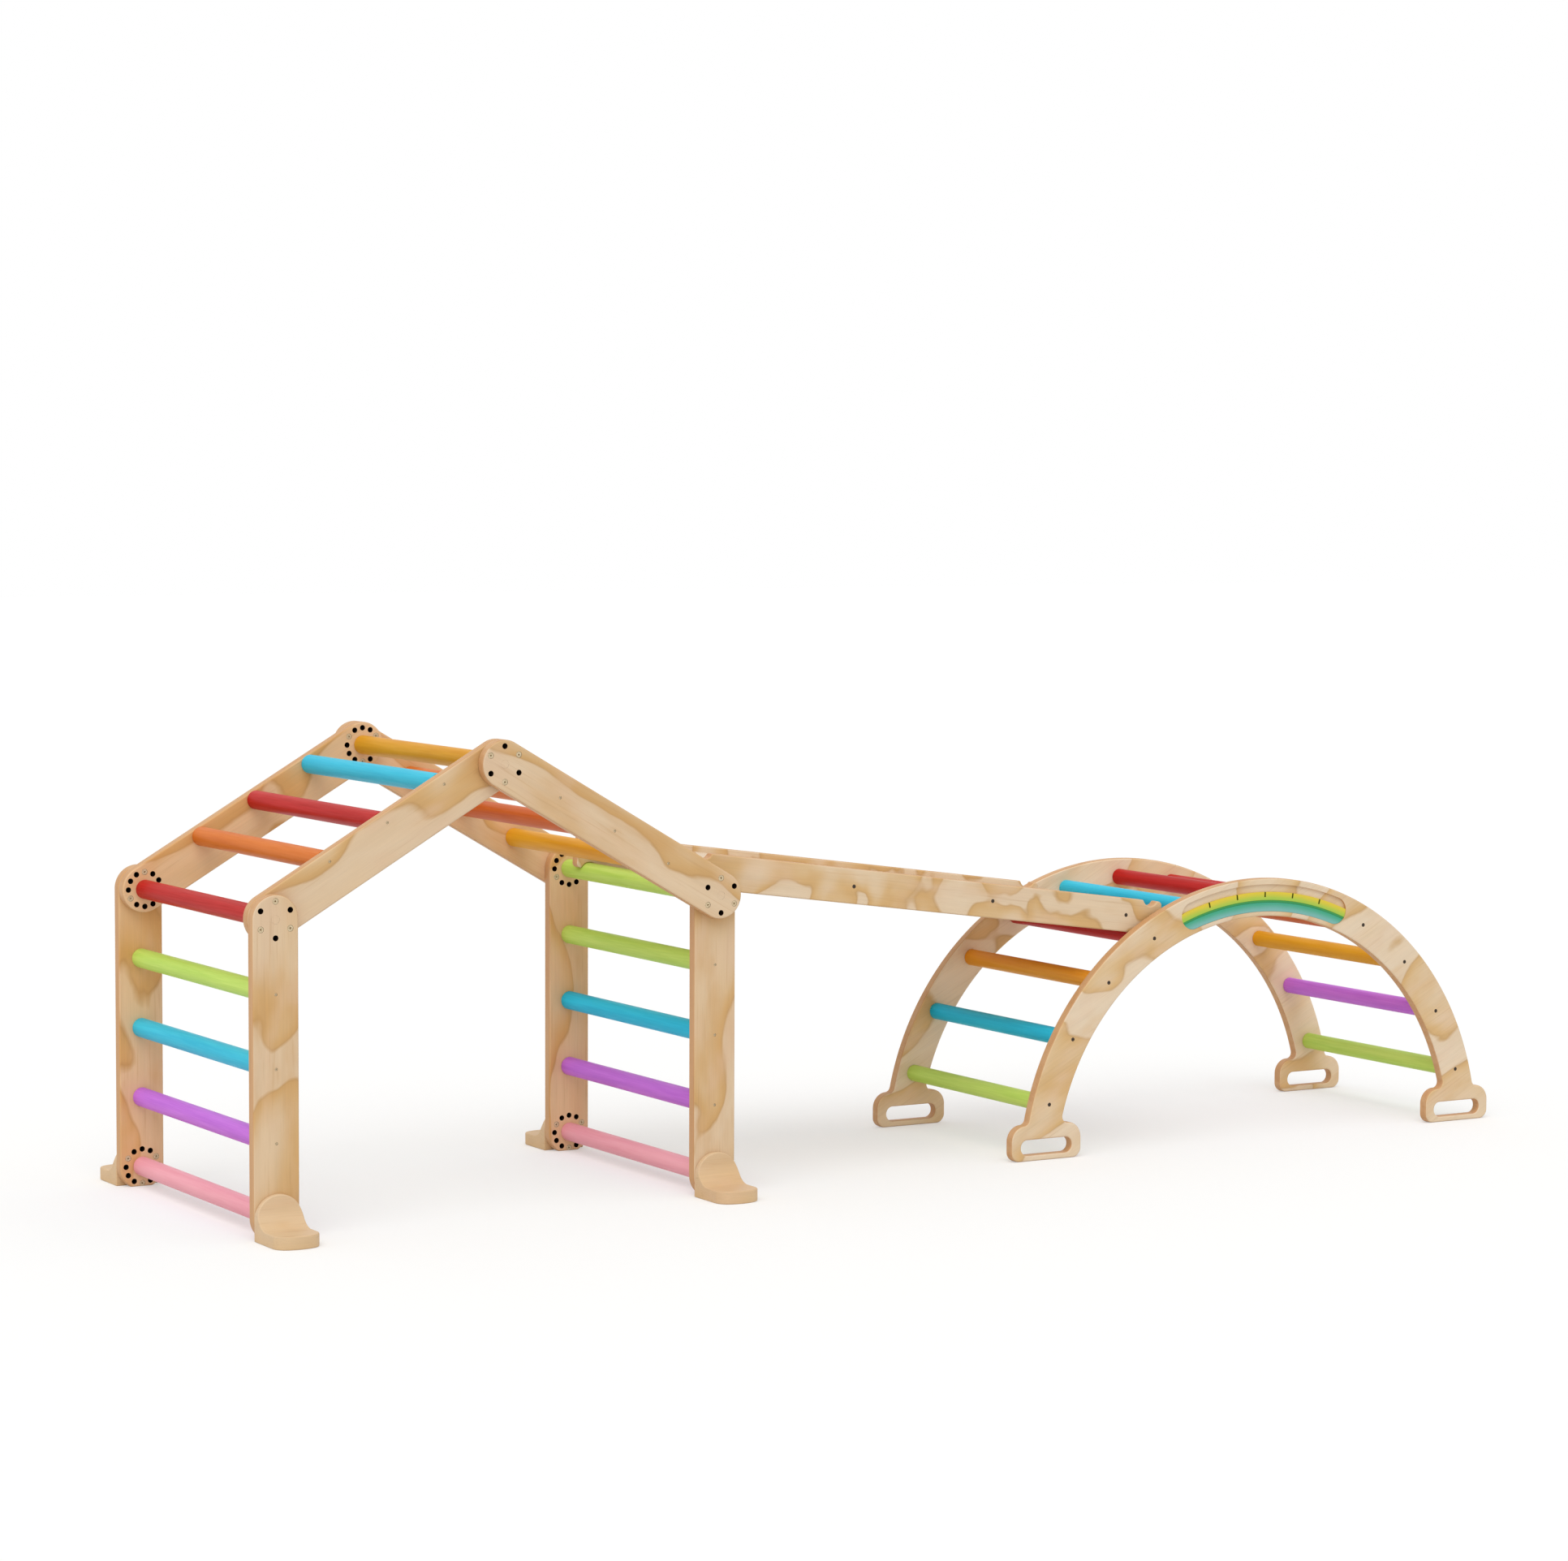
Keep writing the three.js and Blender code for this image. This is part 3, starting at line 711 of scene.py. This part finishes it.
def ring(centre, holes, filled, keep_filled):
    """Places of a ring's filled or open holes."""
    angles = [math.radians(a) for a in range(0, 360, 360 // holes)
              if (a in filled) == keep_filled]
    return [(centre + RING_RADIUS * math.cos(a), RING_RADIUS * math.sin(a)) for a in angles]


# Directions of the filled holes at a section's lower and upper joint, in degrees
LOWER, UPPER = (60, 180, 300), (0, 120, 240)

# Section: name, its joints from the lower to the upper, whether its boards are the outer ones,
# the hinges as (index of the joint, holes in the ring, filled holes, node of the hinge bolt),
# the figure of its boards, and where the far and the near one are cut from the pattern
SECTIONS = [
    ("left_leg", "left_near_foot_pivot", "left_hinge", True,
     [(0, 12, LOWER, None), (1, 6, UPPER, "left_hinge")], LEG_FIGURE, (0, 10)),
    ("left_roof", "left_hinge", "apex_hinge", False,
     [(0, 12, LOWER, None), (1, 12, UPPER, None)], LEFT_ROOF_FIGURE, (3, 2)),
    ("right_roof", "right_hinge", "apex_hinge", True,
     [(0, 6, LOWER, "right_hinge"), (1, 6, UPPER, "apex_hinge")], RIGHT_ROOF_FIGURE, (4, 10)),
    ("right_leg", "right_near_foot_pivot", "right_hinge", False,
     [(0, 12, LOWER, None), (1, 12, UPPER, None)], LEG_FIGURE, (6, 9)),
]


def plank(length, low, high, on_floor):
    """A straight board with round ends, the lower one flat where it stands on the floor."""
    sheet = bmesh.new()
    bmesh.ops.create_circle(sheet, cap_ends=True, segments=END_SEGMENTS, radius=BOARD_WIDTH / 2,
                            matrix=Matrix.Rotation(math.pi / END_SEGMENTS, 4, "Z"))
    bmesh.ops.translate(sheet, verts=[v for v in sheet.verts if v.co.x > 0], vec=(length, 0, 0))
    if on_floor:
        bmesh.ops.bisect_plane(sheet, geom=sheet.verts[:] + sheet.edges[:] + sheet.faces[:],
                               plane_co=(-FOOT_AXIS, 0, 0), plane_no=(-1, 0, 0),
                               clear_outer=True)
    return rounded(thickened(sheet, low, high), BOARD_ROUND)


def rung_places(name, start, run):
    """Where a section's three rungs meet its boards, along and across them."""
    along = run.normalized()
    across = Vector((-run.y, run.x)).normalized()
    rungs = [next(n for n in BODY_OF if n.startswith(f"{name}_rung_{i}_")) for i in (1, 2, 3)]
    offsets = [Vector(middle_of(rung)) - start for rung in rungs]
    return [(offset.dot(along), offset.dot(across)) for offset in offsets]


def fit_section(name, lower, upper, outer, hinges, figure, seeds):
    """A section's two boards with their rings of holes, bolt heads, plugs and screws."""
    start, end = pivot(lower), pivot(upper)
    run = end - start
    lean = math.atan2(run.y, run.x)
    where = side_frame(start.x, start.y, lean)
    on_floor = "leg" in name
    screws = rung_places(name, start, run)
    for side, label in SIDES:
        node = f"{name}_{label}_board"
        low, high = board_heights(node)
        out_face, in_face = (high, low) if side == NEAR else (low, high)
        body = BODY_OF[node]
        # The far board's tone paints warm bounce light onto its faces
        finish = birch("birch_" + node, seeds[side == NEAR], lean, Y, home(start, lean), figure,
                       PALE_TONE if side == NEAR else PAINTED_BOUNCE_TONE)
        tools, nickel = [], []
        for joint, holes, filled, bolt in hinges:
            centre = joint * run.length
            tools += [bore(x, y, RING_HOLE, low, high)
                      for x, y in ring(centre, holes, filled, False)]
            heads = ring(centre, holes, filled, True)
            at_foot = on_floor and joint == 0
            face, facing = (out_face, side) if outer and not at_foot else (in_face, -side)
            tools += [seat(x, y, BOLT_HEAD + BOLT_GAP, face, BOLT_DEPTH + BOLT_UNDER, facing)
                      for x, y in heads]
            nickel.append(copies(lambda: socket_head(BOLT_HEAD, BOLT_DEPTH, BOLT_SOCKET), heads,
                                 face - facing * BOLT_SINK, facing))
            if bolt:
                tools.append(seat(centre, 0, PLUG_RADIUS + PLUG_GAP, out_face, PLUG_DEPTH, side))
                plug = copies(hinge_plug, [(centre, 0)], out_face, side)
                set_in(f"plug_{bolt}_{label}", plug, where, [finish], body,
                       [f"{bolt}_{label}_bolt"])
        tools += screw_seats(screws, out_face, side, SMALL_SCREW_HEAD + SMALL_SCREW_GAP)
        small = screw_heads(screws, out_face, side, SMALL_SCREW_HEAD, SMALL_SCREW_SOCKET)
        shape = carved(plank(run.length, low, high, on_floor), tools)
        set_in("plank_" + node, shape, where, [finish, BORE], body, [node])
        set_in(f"bolts_{name}_{label}", gathered(nickel), where, [NICKEL], body)
        set_in(f"screws_{name}_{label}", small, where, [NICKEL], body)


def foot_shape(side):
    """A boot-shaped foot, its back on Z = 0 and its toe out along Z, on the floor."""
    top = FOOT_AXIS + BOARD_WIDTH / 2
    outline = bmesh.new()
    corners = [outline.verts.new((x, y, 0)) for x, y in (
        (0, -FOOT_AXIS), (FOOT_REACH + OVERRUN, -FOOT_AXIS),
        (FOOT_REACH + OVERRUN, FOOT_SOLE - FOOT_AXIS), (FOOT_PLATE, FOOT_SOLE - FOOT_AXIS),
        (FOOT_PLATE, top), (0, top))]
    outline.faces.new(corners)
    bmesh.ops.bevel(outline, geom=[corners[3]], offset=FOOT_COVE, offset_type="OFFSET",
                    segments=COVE_STEPS, profile=0.5, affect="VERTICES", material=-1)
    boot = thickened(outline, -BOARD_WIDTH, BOARD_WIDTH)
    spun(boot, -math.pi / 2, "Y")

    half = BOARD_WIDTH / 2
    front = bmesh.new()
    bmesh.ops.create_circle(front, cap_ends=True, segments=END_SEGMENTS, radius=half - HAIR,
                            matrix=Matrix.Rotation(math.pi / END_SEGMENTS, 4, "Z"))
    bmesh.ops.translate(front, verts=[v for v in front.verts if v.co.y < 0],
                        vec=(0, -FOOT_AXIS - OVERRUN, 0))
    boot = carved(boot, [thickened(front, -OVERRUN, FOOT_REACH + 2 * OVERRUN)], "INTERSECT")

    bow_radius = (half ** 2 + FOOT_BOW ** 2) / (2 * FOOT_BOW)
    straight = half - FOOT_CORNER
    swing = math.degrees(math.asin(straight / (bow_radius - FOOT_CORNER)))
    corner_y = FOOT_REACH - bow_radius + straight / math.tan(math.radians(swing))
    sole = thickened(outlined([
        (straight, corner_y, FOOT_CORNER, 0, 90 - swing),
        (0, FOOT_REACH - bow_radius, bow_radius, 90 - swing, 2 * swing),
        (-straight, corner_y, FOOT_CORNER, 90 + swing, 90 - swing),
        (-half, -OVERRUN, 0, 0, 0), (half, -OVERRUN, 0, 0, 0)]), -BOARD_WIDTH, BOARD_WIDTH)
    spun(sole, math.pi / 2, "X")
    boot = flattened(carved(boot, [sole], "INTERSECT"))
    rounded(boot, FOOT_ROUND, False, FOOT_CREASE, 3)
    if side == FAR:
        spun(boot, math.pi, "Y")
    return boot


def fit_foot(index, end, label, side):
    """A foot, its back against the outside of its leg's board."""
    node = f"{end}_{label}_foot"
    centre = pivot(f"{end}_{label}_foot_pivot")
    leg_low, leg_high = span(f"{end}_leg_{label}_board", Y)
    back = leg_low - PLAY if side == NEAR else leg_high + PLAY
    set_in("boot_" + node, foot_shape(side), side_frame(centre.x, centre.y, 0, back),
           [birch("birch_" + node, FOOT_SEED + index, 0.0, None)], BODY_OF[node],
           [node])


def meeting(near, far, near_reach, far_reach):
    """The point on the left of the line from near to far at two distances from them."""
    line = far - near
    along = (near_reach ** 2 - far_reach ** 2 + line.length_squared) / (2 * line.length)
    aside = math.sqrt(near_reach ** 2 - along ** 2)
    ahead = line.normalized()
    return near + along * ahead + aside * Vector((-ahead.y, ahead.x))


def bearing(vector):
    """A direction in degrees, from X towards Y."""
    return math.degrees(math.atan2(vector.y, vector.x))


def arch_outline():
    """The arch board's edge as arcs: a bow that runs out through fillets into two handles."""
    inner, outer = ARCH_RADIUS - ARCH_WIDTH / 2, ARCH_RADIUS + ARCH_WIDTH / 2
    top = ARCH_DROP + HANDLE_HEIGHT
    left, right = HANDLE_OFFSET - HANDLE_LENGTH / 2, HANDLE_OFFSET + HANDLE_LENGTH / 2
    crook_y = top + HANDLE_FILLET
    crook = Vector((math.sqrt((inner - HANDLE_FILLET) ** 2 - crook_y ** 2), crook_y))
    shoulder = Vector((right - HANDLE_TOP_CORNER, top - HANDLE_TOP_CORNER))
    neck = meeting(Vector((0, 0)), shoulder, outer + HANDLE_FILLET,
                   HANDLE_FILLET + HANDLE_TOP_CORNER)
    base = ARCH_DROP + HANDLE_BOTTOM_CORNER
    slope = bearing(neck - shoulder)
    half = [
        (crook.x, crook.y, HANDLE_FILLET, bearing(crook), -90 - bearing(crook)),
        (left + HANDLE_TOP_CORNER, shoulder.y, HANDLE_TOP_CORNER, 90, 90),
        (left + HANDLE_BOTTOM_CORNER, base, HANDLE_BOTTOM_CORNER, 180, 90),
        (right - HANDLE_BOTTOM_CORNER, base, HANDLE_BOTTOM_CORNER, 270, 90),
        (shoulder.x, shoulder.y, HANDLE_TOP_CORNER, 0, slope),
        (neck.x, neck.y, HANDLE_FILLET, 180 + slope, bearing(neck) - slope),
    ]
    mirrored = [(-x, y, radius, 180 - start - turn, turn)
                for x, y, radius, start, turn in half[::-1]]
    return [*half, (0, 0, outer, bearing(neck), 180 - 2 * bearing(neck)),
            *mirrored, (0, 0, inner, 180 - bearing(crook), 2 * bearing(crook) - 180)]


def arch_board_shape(low, high):
    slots = [bore(x, ARCH_DROP + SLOT_LIFT + SLOT_HEIGHT / 2, SLOT_HEIGHT / 2, low, high,
                  BOARD_ROUND, ROUND_STEPS, SLOT_LENGTH - SLOT_HEIGHT, False)
             for x in (-HANDLE_OFFSET, HANDLE_OFFSET)]
    return carved(rounded(thickened(outlined(arch_outline()), low, high), BOARD_ROUND), slots)


def recess(gap, low, high):
    """The inlay's curved recess with round ends, smaller all round by a gap."""
    middle = ARCH_RADIUS + ARCH_WIDTH / 2 - RECESS_EDGE - RECESS_WIDTH / 2
    half = RECESS_WIDTH / 2 - gap
    ends = [90 - RECESS_TURN + way * RECESS_REACH for way in (-1, 1)]
    right, left = [(middle * math.cos(math.radians(a)), middle * math.sin(math.radians(a)))
                   for a in ends]
    return thickened(outlined([
        (0, 0, middle + half, ends[0], 2 * RECESS_REACH), (*left, half, ends[1], 180),
        (0, 0, middle - half, ends[1], -2 * RECESS_REACH), (*right, half, ends[0] + 180, 180),
    ]), low, high)


def fit_arch():
    """The arch's two boards and their screws, with the stripes let into the near one."""
    rungs = sorted(n for n in BODY_OF if n.startswith("arch_rung"))
    x, z = middle_of(next(n for n in rungs if n.startswith("arch_rung_6_")))
    z -= ARCH_RADIUS
    places = [(rung_x - x, rung_z - z) for rung_x, rung_z in map(middle_of, rungs)]
    where = side_frame(x, z)
    grain = math.radians(ARCH_GRAIN)
    for side, label in SIDES:
        node = f"arch_{label}_board"
        low, high = board_heights(node)
        face = high if side == NEAR else low
        shown = [p for p in places
                 if side == FAR or abs(90 - bearing(Vector(p))) > RECESS_REACH + RECESS_MARGIN]
        shape = arch_board_shape(low, high)
        if side == NEAR:
            shape = carved(shape, [recess(0, face - RECESS_DEPTH, face + OVERRUN)])
        shape = carved(shape, screw_seats(shown, face, side))
        # The far arch board's tone paints light onto its shaded faces
        finish = birch("birch_" + node, ARCH_SEEDS[side == NEAR], grain, Y,
                       home(Vector((x, z)), grain), ARCH_FIGURE,
                       BLEACHED_TONE if side == NEAR else PAINTED_LIGHT_TONE)
        set_in("plank_" + node, shape, where, [finish, BORE], BODY_OF[node], [node])
        set_in(f"screws_arch_{label}", screw_heads(shown, face, side), where, [BRONZED],
               BODY_OF[node])
    fit_stripes(x, z, where)


def fit_stripes(x, z, where):
    """Three lacquered stripes one outside the other, the last with short cuts in its edge."""
    back = board_heights("arch_near_board")[1] - RECESS_DEPTH + PLAY
    front = back + STRIP_THICKNESS
    start = ARCH_RADIUS + ARCH_WIDTH / 2 - RECESS_EDGE - RECESS_WIDTH + PLAY
    reach = RECESS_REACH + RECESS_TURN + RECESS_MARGIN
    for shade, width, inner, outer in (("teal", TEAL_WIDTH, "83bdb8", "48ac88"),
                                       ("green", GREEN_WIDTH, "3a9860", "4d9d50"),
                                       ("yellow", YELLOW_WIDTH, "a8cb52", "e6cd45")):
        strip = thickened(bow(start, start + width - PLAY, reach, STRIPE_STEPS), back, front)
        strip = carved(strip, [recess(PLAY, back - OVERRUN, front + OVERRUN)], "INTERSECT")
        if shade == "yellow":
            cuts = []
            for i in range(TICKS):
                angle = (i - (TICKS - 1) / 2) * TICK_SPACING / start + math.radians(RECESS_TURN)
                cut = brick((-TICK_WIDTH / 2, start + width - TICK_LENGTH, front - TICK_DEPTH),
                            (TICK_WIDTH / 2, start + width + OVERRUN, front + OVERRUN))
                # The tick's walls take the painted shade
                for part in cut.faces:
                    part.material_index = 1
                cuts.append(spun(cut, -angle))
            strip = carved(strip, cuts)
        node = f"arch_inlay_{shade}"
        lacquer = stripe("lacquer_" + shade, inner, outer, Vector((x, z)) * MM, start * MM,
                         width * MM)
        set_in("stripe_" + shade, strip, where, [lacquer, TICK_SHADOW], BODY_OF[node],
               [node])
        start += width


def rung_seat(radius, low, high):
    """A cutter for the round seat in a rail's lower edge, with its two corners eased."""
    lift = RAIL_RISE + SEAT_EASE
    reach = math.sqrt((radius + SEAT_EASE) ** 2 - lift ** 2)
    turn = bearing(Vector((reach, lift)))
    return thickened(outlined([
        (reach, RAIL_RISE - OVERRUN, 0, 0, 0), (reach, lift, SEAT_EASE, 270, turn - 90),
        (0, 0, radius, turn, 180 - 2 * turn), (-reach, lift, SEAT_EASE, -turn, turn - 90),
        (-reach, RAIL_RISE - OVERRUN, 0, 0, 0)]), low, high)


def block_of(node, where):
    """A node's own straight block, with its edges eased, in the frame of its place."""
    back = where.inverted()
    corners = [back @ v.co for v in frame["nodes"][node].data.vertices]
    low, high = [[pick(corner[axis] for corner in corners) for axis in (X, Y, Z)]
                 for pick in (min, max)]
    return rounded(brick(low, high), DECK_ROUND, False, steps=2)


def fit_ramp():
    """The ramp's battens, deck and rails, from the right joint to the arch's fourth rung."""
    start = pivot("right_hinge")
    end = Vector(middle_of(next(n for n in BODY_OF if n.startswith("arch_rung_4_"))))
    run = end - start
    lean = math.atan2(run.y, run.x)
    where = side_frame(start.x, start.y, lean)
    along = run.normalized()
    across = Vector((-along.y, along.x))
    screws = []
    for i in range(1, BATTENS + 1):
        node = f"ramp_batten_{i}"
        offset = Vector(middle_of(node)) - start
        screws.append((offset.dot(along), offset.dot(across)))
        set_in("bar_" + node, block_of(node, where), where,
               [birch("birch_" + node, BATTEN_SEED + i, 0.0, None)], BODY_OF[node], [node])
    set_in("deck_ramp", block_of("ramp_deck", where), where,
           [birch("birch_ramp_deck", DECK_SEED, lean, Z)], BODY_OF["ramp_deck"],
           ["ramp_deck"])
    for side, label in SIDES:
        node = f"ramp_{label}_rail"
        low, high = board_heights(node)
        face = high if side == NEAR else low
        outline = eased_sheet(run.length / 2, RAIL_RISE, run.length + 2 * RAIL_OVERHANG,
                              RAIL_HEIGHT, RAIL_CORNER)
        seats = []
        for radius, at in ((HOUSE_DOWEL, 0), (ARCH_DOWEL, run.length)):
            lower, upper = [rung_seat(radius + PLAY, low - OVERRUN, high + OVERRUN)
                            for _ in range(2)]
            seats += [moved(lower, at),
                      moved(spun(upper, math.pi), at, RAIL_HEIGHT + 2 * RAIL_RISE)]
        rail = rounded(flattened(carved(thickened(outline, low, high), seats)), RAIL_ROUND)
        rail = carved(rail, screw_seats(screws, face, side))
        finish = birch("birch_" + node, RAIL_SEEDS[side == NEAR], lean, Y, home(start, lean),
                       RAIL_FIGURE, RAIL_TONE if side == NEAR else BLEACHED_TONE)
        set_in("plank_" + node, rail, where, [finish, BORE], BODY_OF[node], [node])
        set_in(f"screws_ramp_{label}", screw_heads(screws, face, side), where, [BRONZED],
               BODY_OF[node])


for section in SECTIONS:
    fit_section(*section)
for dowel in sorted(n for n in BODY_OF if "_rung_" in n):
    fit_dowel(dowel)
FEET = [(end, label, side) for end in ("left", "right") for side, label in SIDES]
for number, foot in enumerate(FEET):
    fit_foot(number, *foot)
fit_arch()
fit_ramp()


# Studio: a pale floor that fades into white, one broad soft lamp and an even sky

WHITE = (1, 1, 1, 1)
FLOOR_PAINT = (0.8, 0.8, 0.79, 1)
FLOOR_SEEN = (0.65, 0.65, 0.643, 1)
FLOOR_GLOW = 0.35
FLOOR_REACH = 30
SKY_STRENGTH = 0.72
LAMP_FROM = (-0.45, -0.55, 1.0)
LAMP_STRENGTH = 1.15
LAMP_SOFTNESS = 50
SENSOR = 36
LENS = 95.12
CAMERA_AT = (-3.54253, -5.80811, 1.11494)
YAW, PITCH, ROLL = 0.53215, 0.073134, 0.004146


def pale_floor():
    """Lights the object as a plain pale floor does, and fades into white where it is seen."""
    sheet = bmesh.new()
    bmesh.ops.create_grid(sheet, x_segments=1, y_segments=1, size=FLOOR_REACH)
    mesh = bpy.data.meshes.new("studio_floor")
    sheet.to_mesh(mesh)
    sheet.free()
    floor = bpy.data.objects.new("studio_floor", mesh)
    bpy.context.scene.collection.objects.link(floor)
    finish = Finish("studio_paper", Base_Color=FLOOR_PAINT, Roughness=0.9,
                    Specular_IOR_Level=0)
    path = finish.node("ShaderNodeLightPath", output="Is Camera Ray")
    glossy = finish.node("ShaderNodeLightPath", output="Is Glossy Ray")
    glow = finish.node("ShaderNodeEmission", None, {"Color": WHITE, "Strength": FLOOR_GLOW})
    paper = finish.node("ShaderNodeBsdfDiffuse", None, {"Color": FLOOR_SEEN})
    shown = finish.node("ShaderNodeAddShader", None, (glow, paper))
    plain = Signal(finish, finish.shader.outputs[0])
    both = finish.node("ShaderNodeMixShader", None,
                       (path.math("MAXIMUM", path, glossy), plain, shown))
    finish.tree.links.new(both.socket, finish.tree.nodes["Material Output"].inputs["Surface"])
    mesh.materials.append(finish.material)


def sky():
    """An even white sky that lights the object less than it shows."""
    world = bpy.data.worlds.new("studio_sky")
    bpy.context.scene.world = world
    world.use_nodes = True
    tree = world.node_tree
    back = tree.nodes["Background"]
    back.inputs["Color"].default_value = WHITE
    back.inputs["Strength"].default_value = SKY_STRENGTH
    seen = tree.nodes.new("ShaderNodeBackground")
    seen.inputs["Color"].default_value = WHITE
    path = tree.nodes.new("ShaderNodeLightPath")
    shown = tree.nodes.new("ShaderNodeMath")
    shown.operation = "MAXIMUM"
    tree.links.new(path.outputs["Is Camera Ray"], shown.inputs[0])
    tree.links.new(path.outputs["Is Glossy Ray"], shown.inputs[1])
    mix = tree.nodes.new("ShaderNodeMixShader")
    tree.links.new(shown.outputs[0], mix.inputs[0])
    tree.links.new(back.outputs[0], mix.inputs[1])
    tree.links.new(seen.outputs[0], mix.inputs[2])
    tree.links.new(mix.outputs[0], tree.nodes["World Output"].inputs["Surface"])


def lamp(name, came_from, strength, softness):
    """Even soft light over the whole set from one direction."""
    data = bpy.data.lights.new(name, "SUN")
    data.energy, data.angle = strength, math.radians(softness)
    thing = bpy.data.objects.new(name, data)
    thing.rotation_euler = Vector(came_from).to_track_quat("Z", "Y").to_euler()
    bpy.context.scene.collection.objects.link(thing)


def camera():
    """The view from a little above the roof, off to the left of the set."""
    data = bpy.data.cameras.new("view")
    data.sensor_fit, data.sensor_width, data.lens = "HORIZONTAL", SENSOR, LENS
    thing = bpy.data.objects.new("view", data)
    ahead = Vector((math.sin(YAW) * math.cos(PITCH), math.cos(YAW) * math.cos(PITCH),
                    -math.sin(PITCH)))
    right = ahead.cross(Vector((0, 0, 1))).normalized()
    up = right.cross(ahead)
    right, up = (math.cos(ROLL) * right + math.sin(ROLL) * up,
                 math.cos(ROLL) * up - math.sin(ROLL) * right)
    turn = Matrix((right, up, -ahead)).transposed()
    thing.matrix_world = Matrix.Translation(CAMERA_AT) @ turn.to_4x4()
    bpy.context.scene.collection.objects.link(thing)
    bpy.context.scene.camera = thing


pale_floor()
sky()
lamp("key", LAMP_FROM, LAMP_STRENGTH, LAMP_SOFTNESS)
camera()
bpy.context.scene.view_settings.view_transform = "Standard"
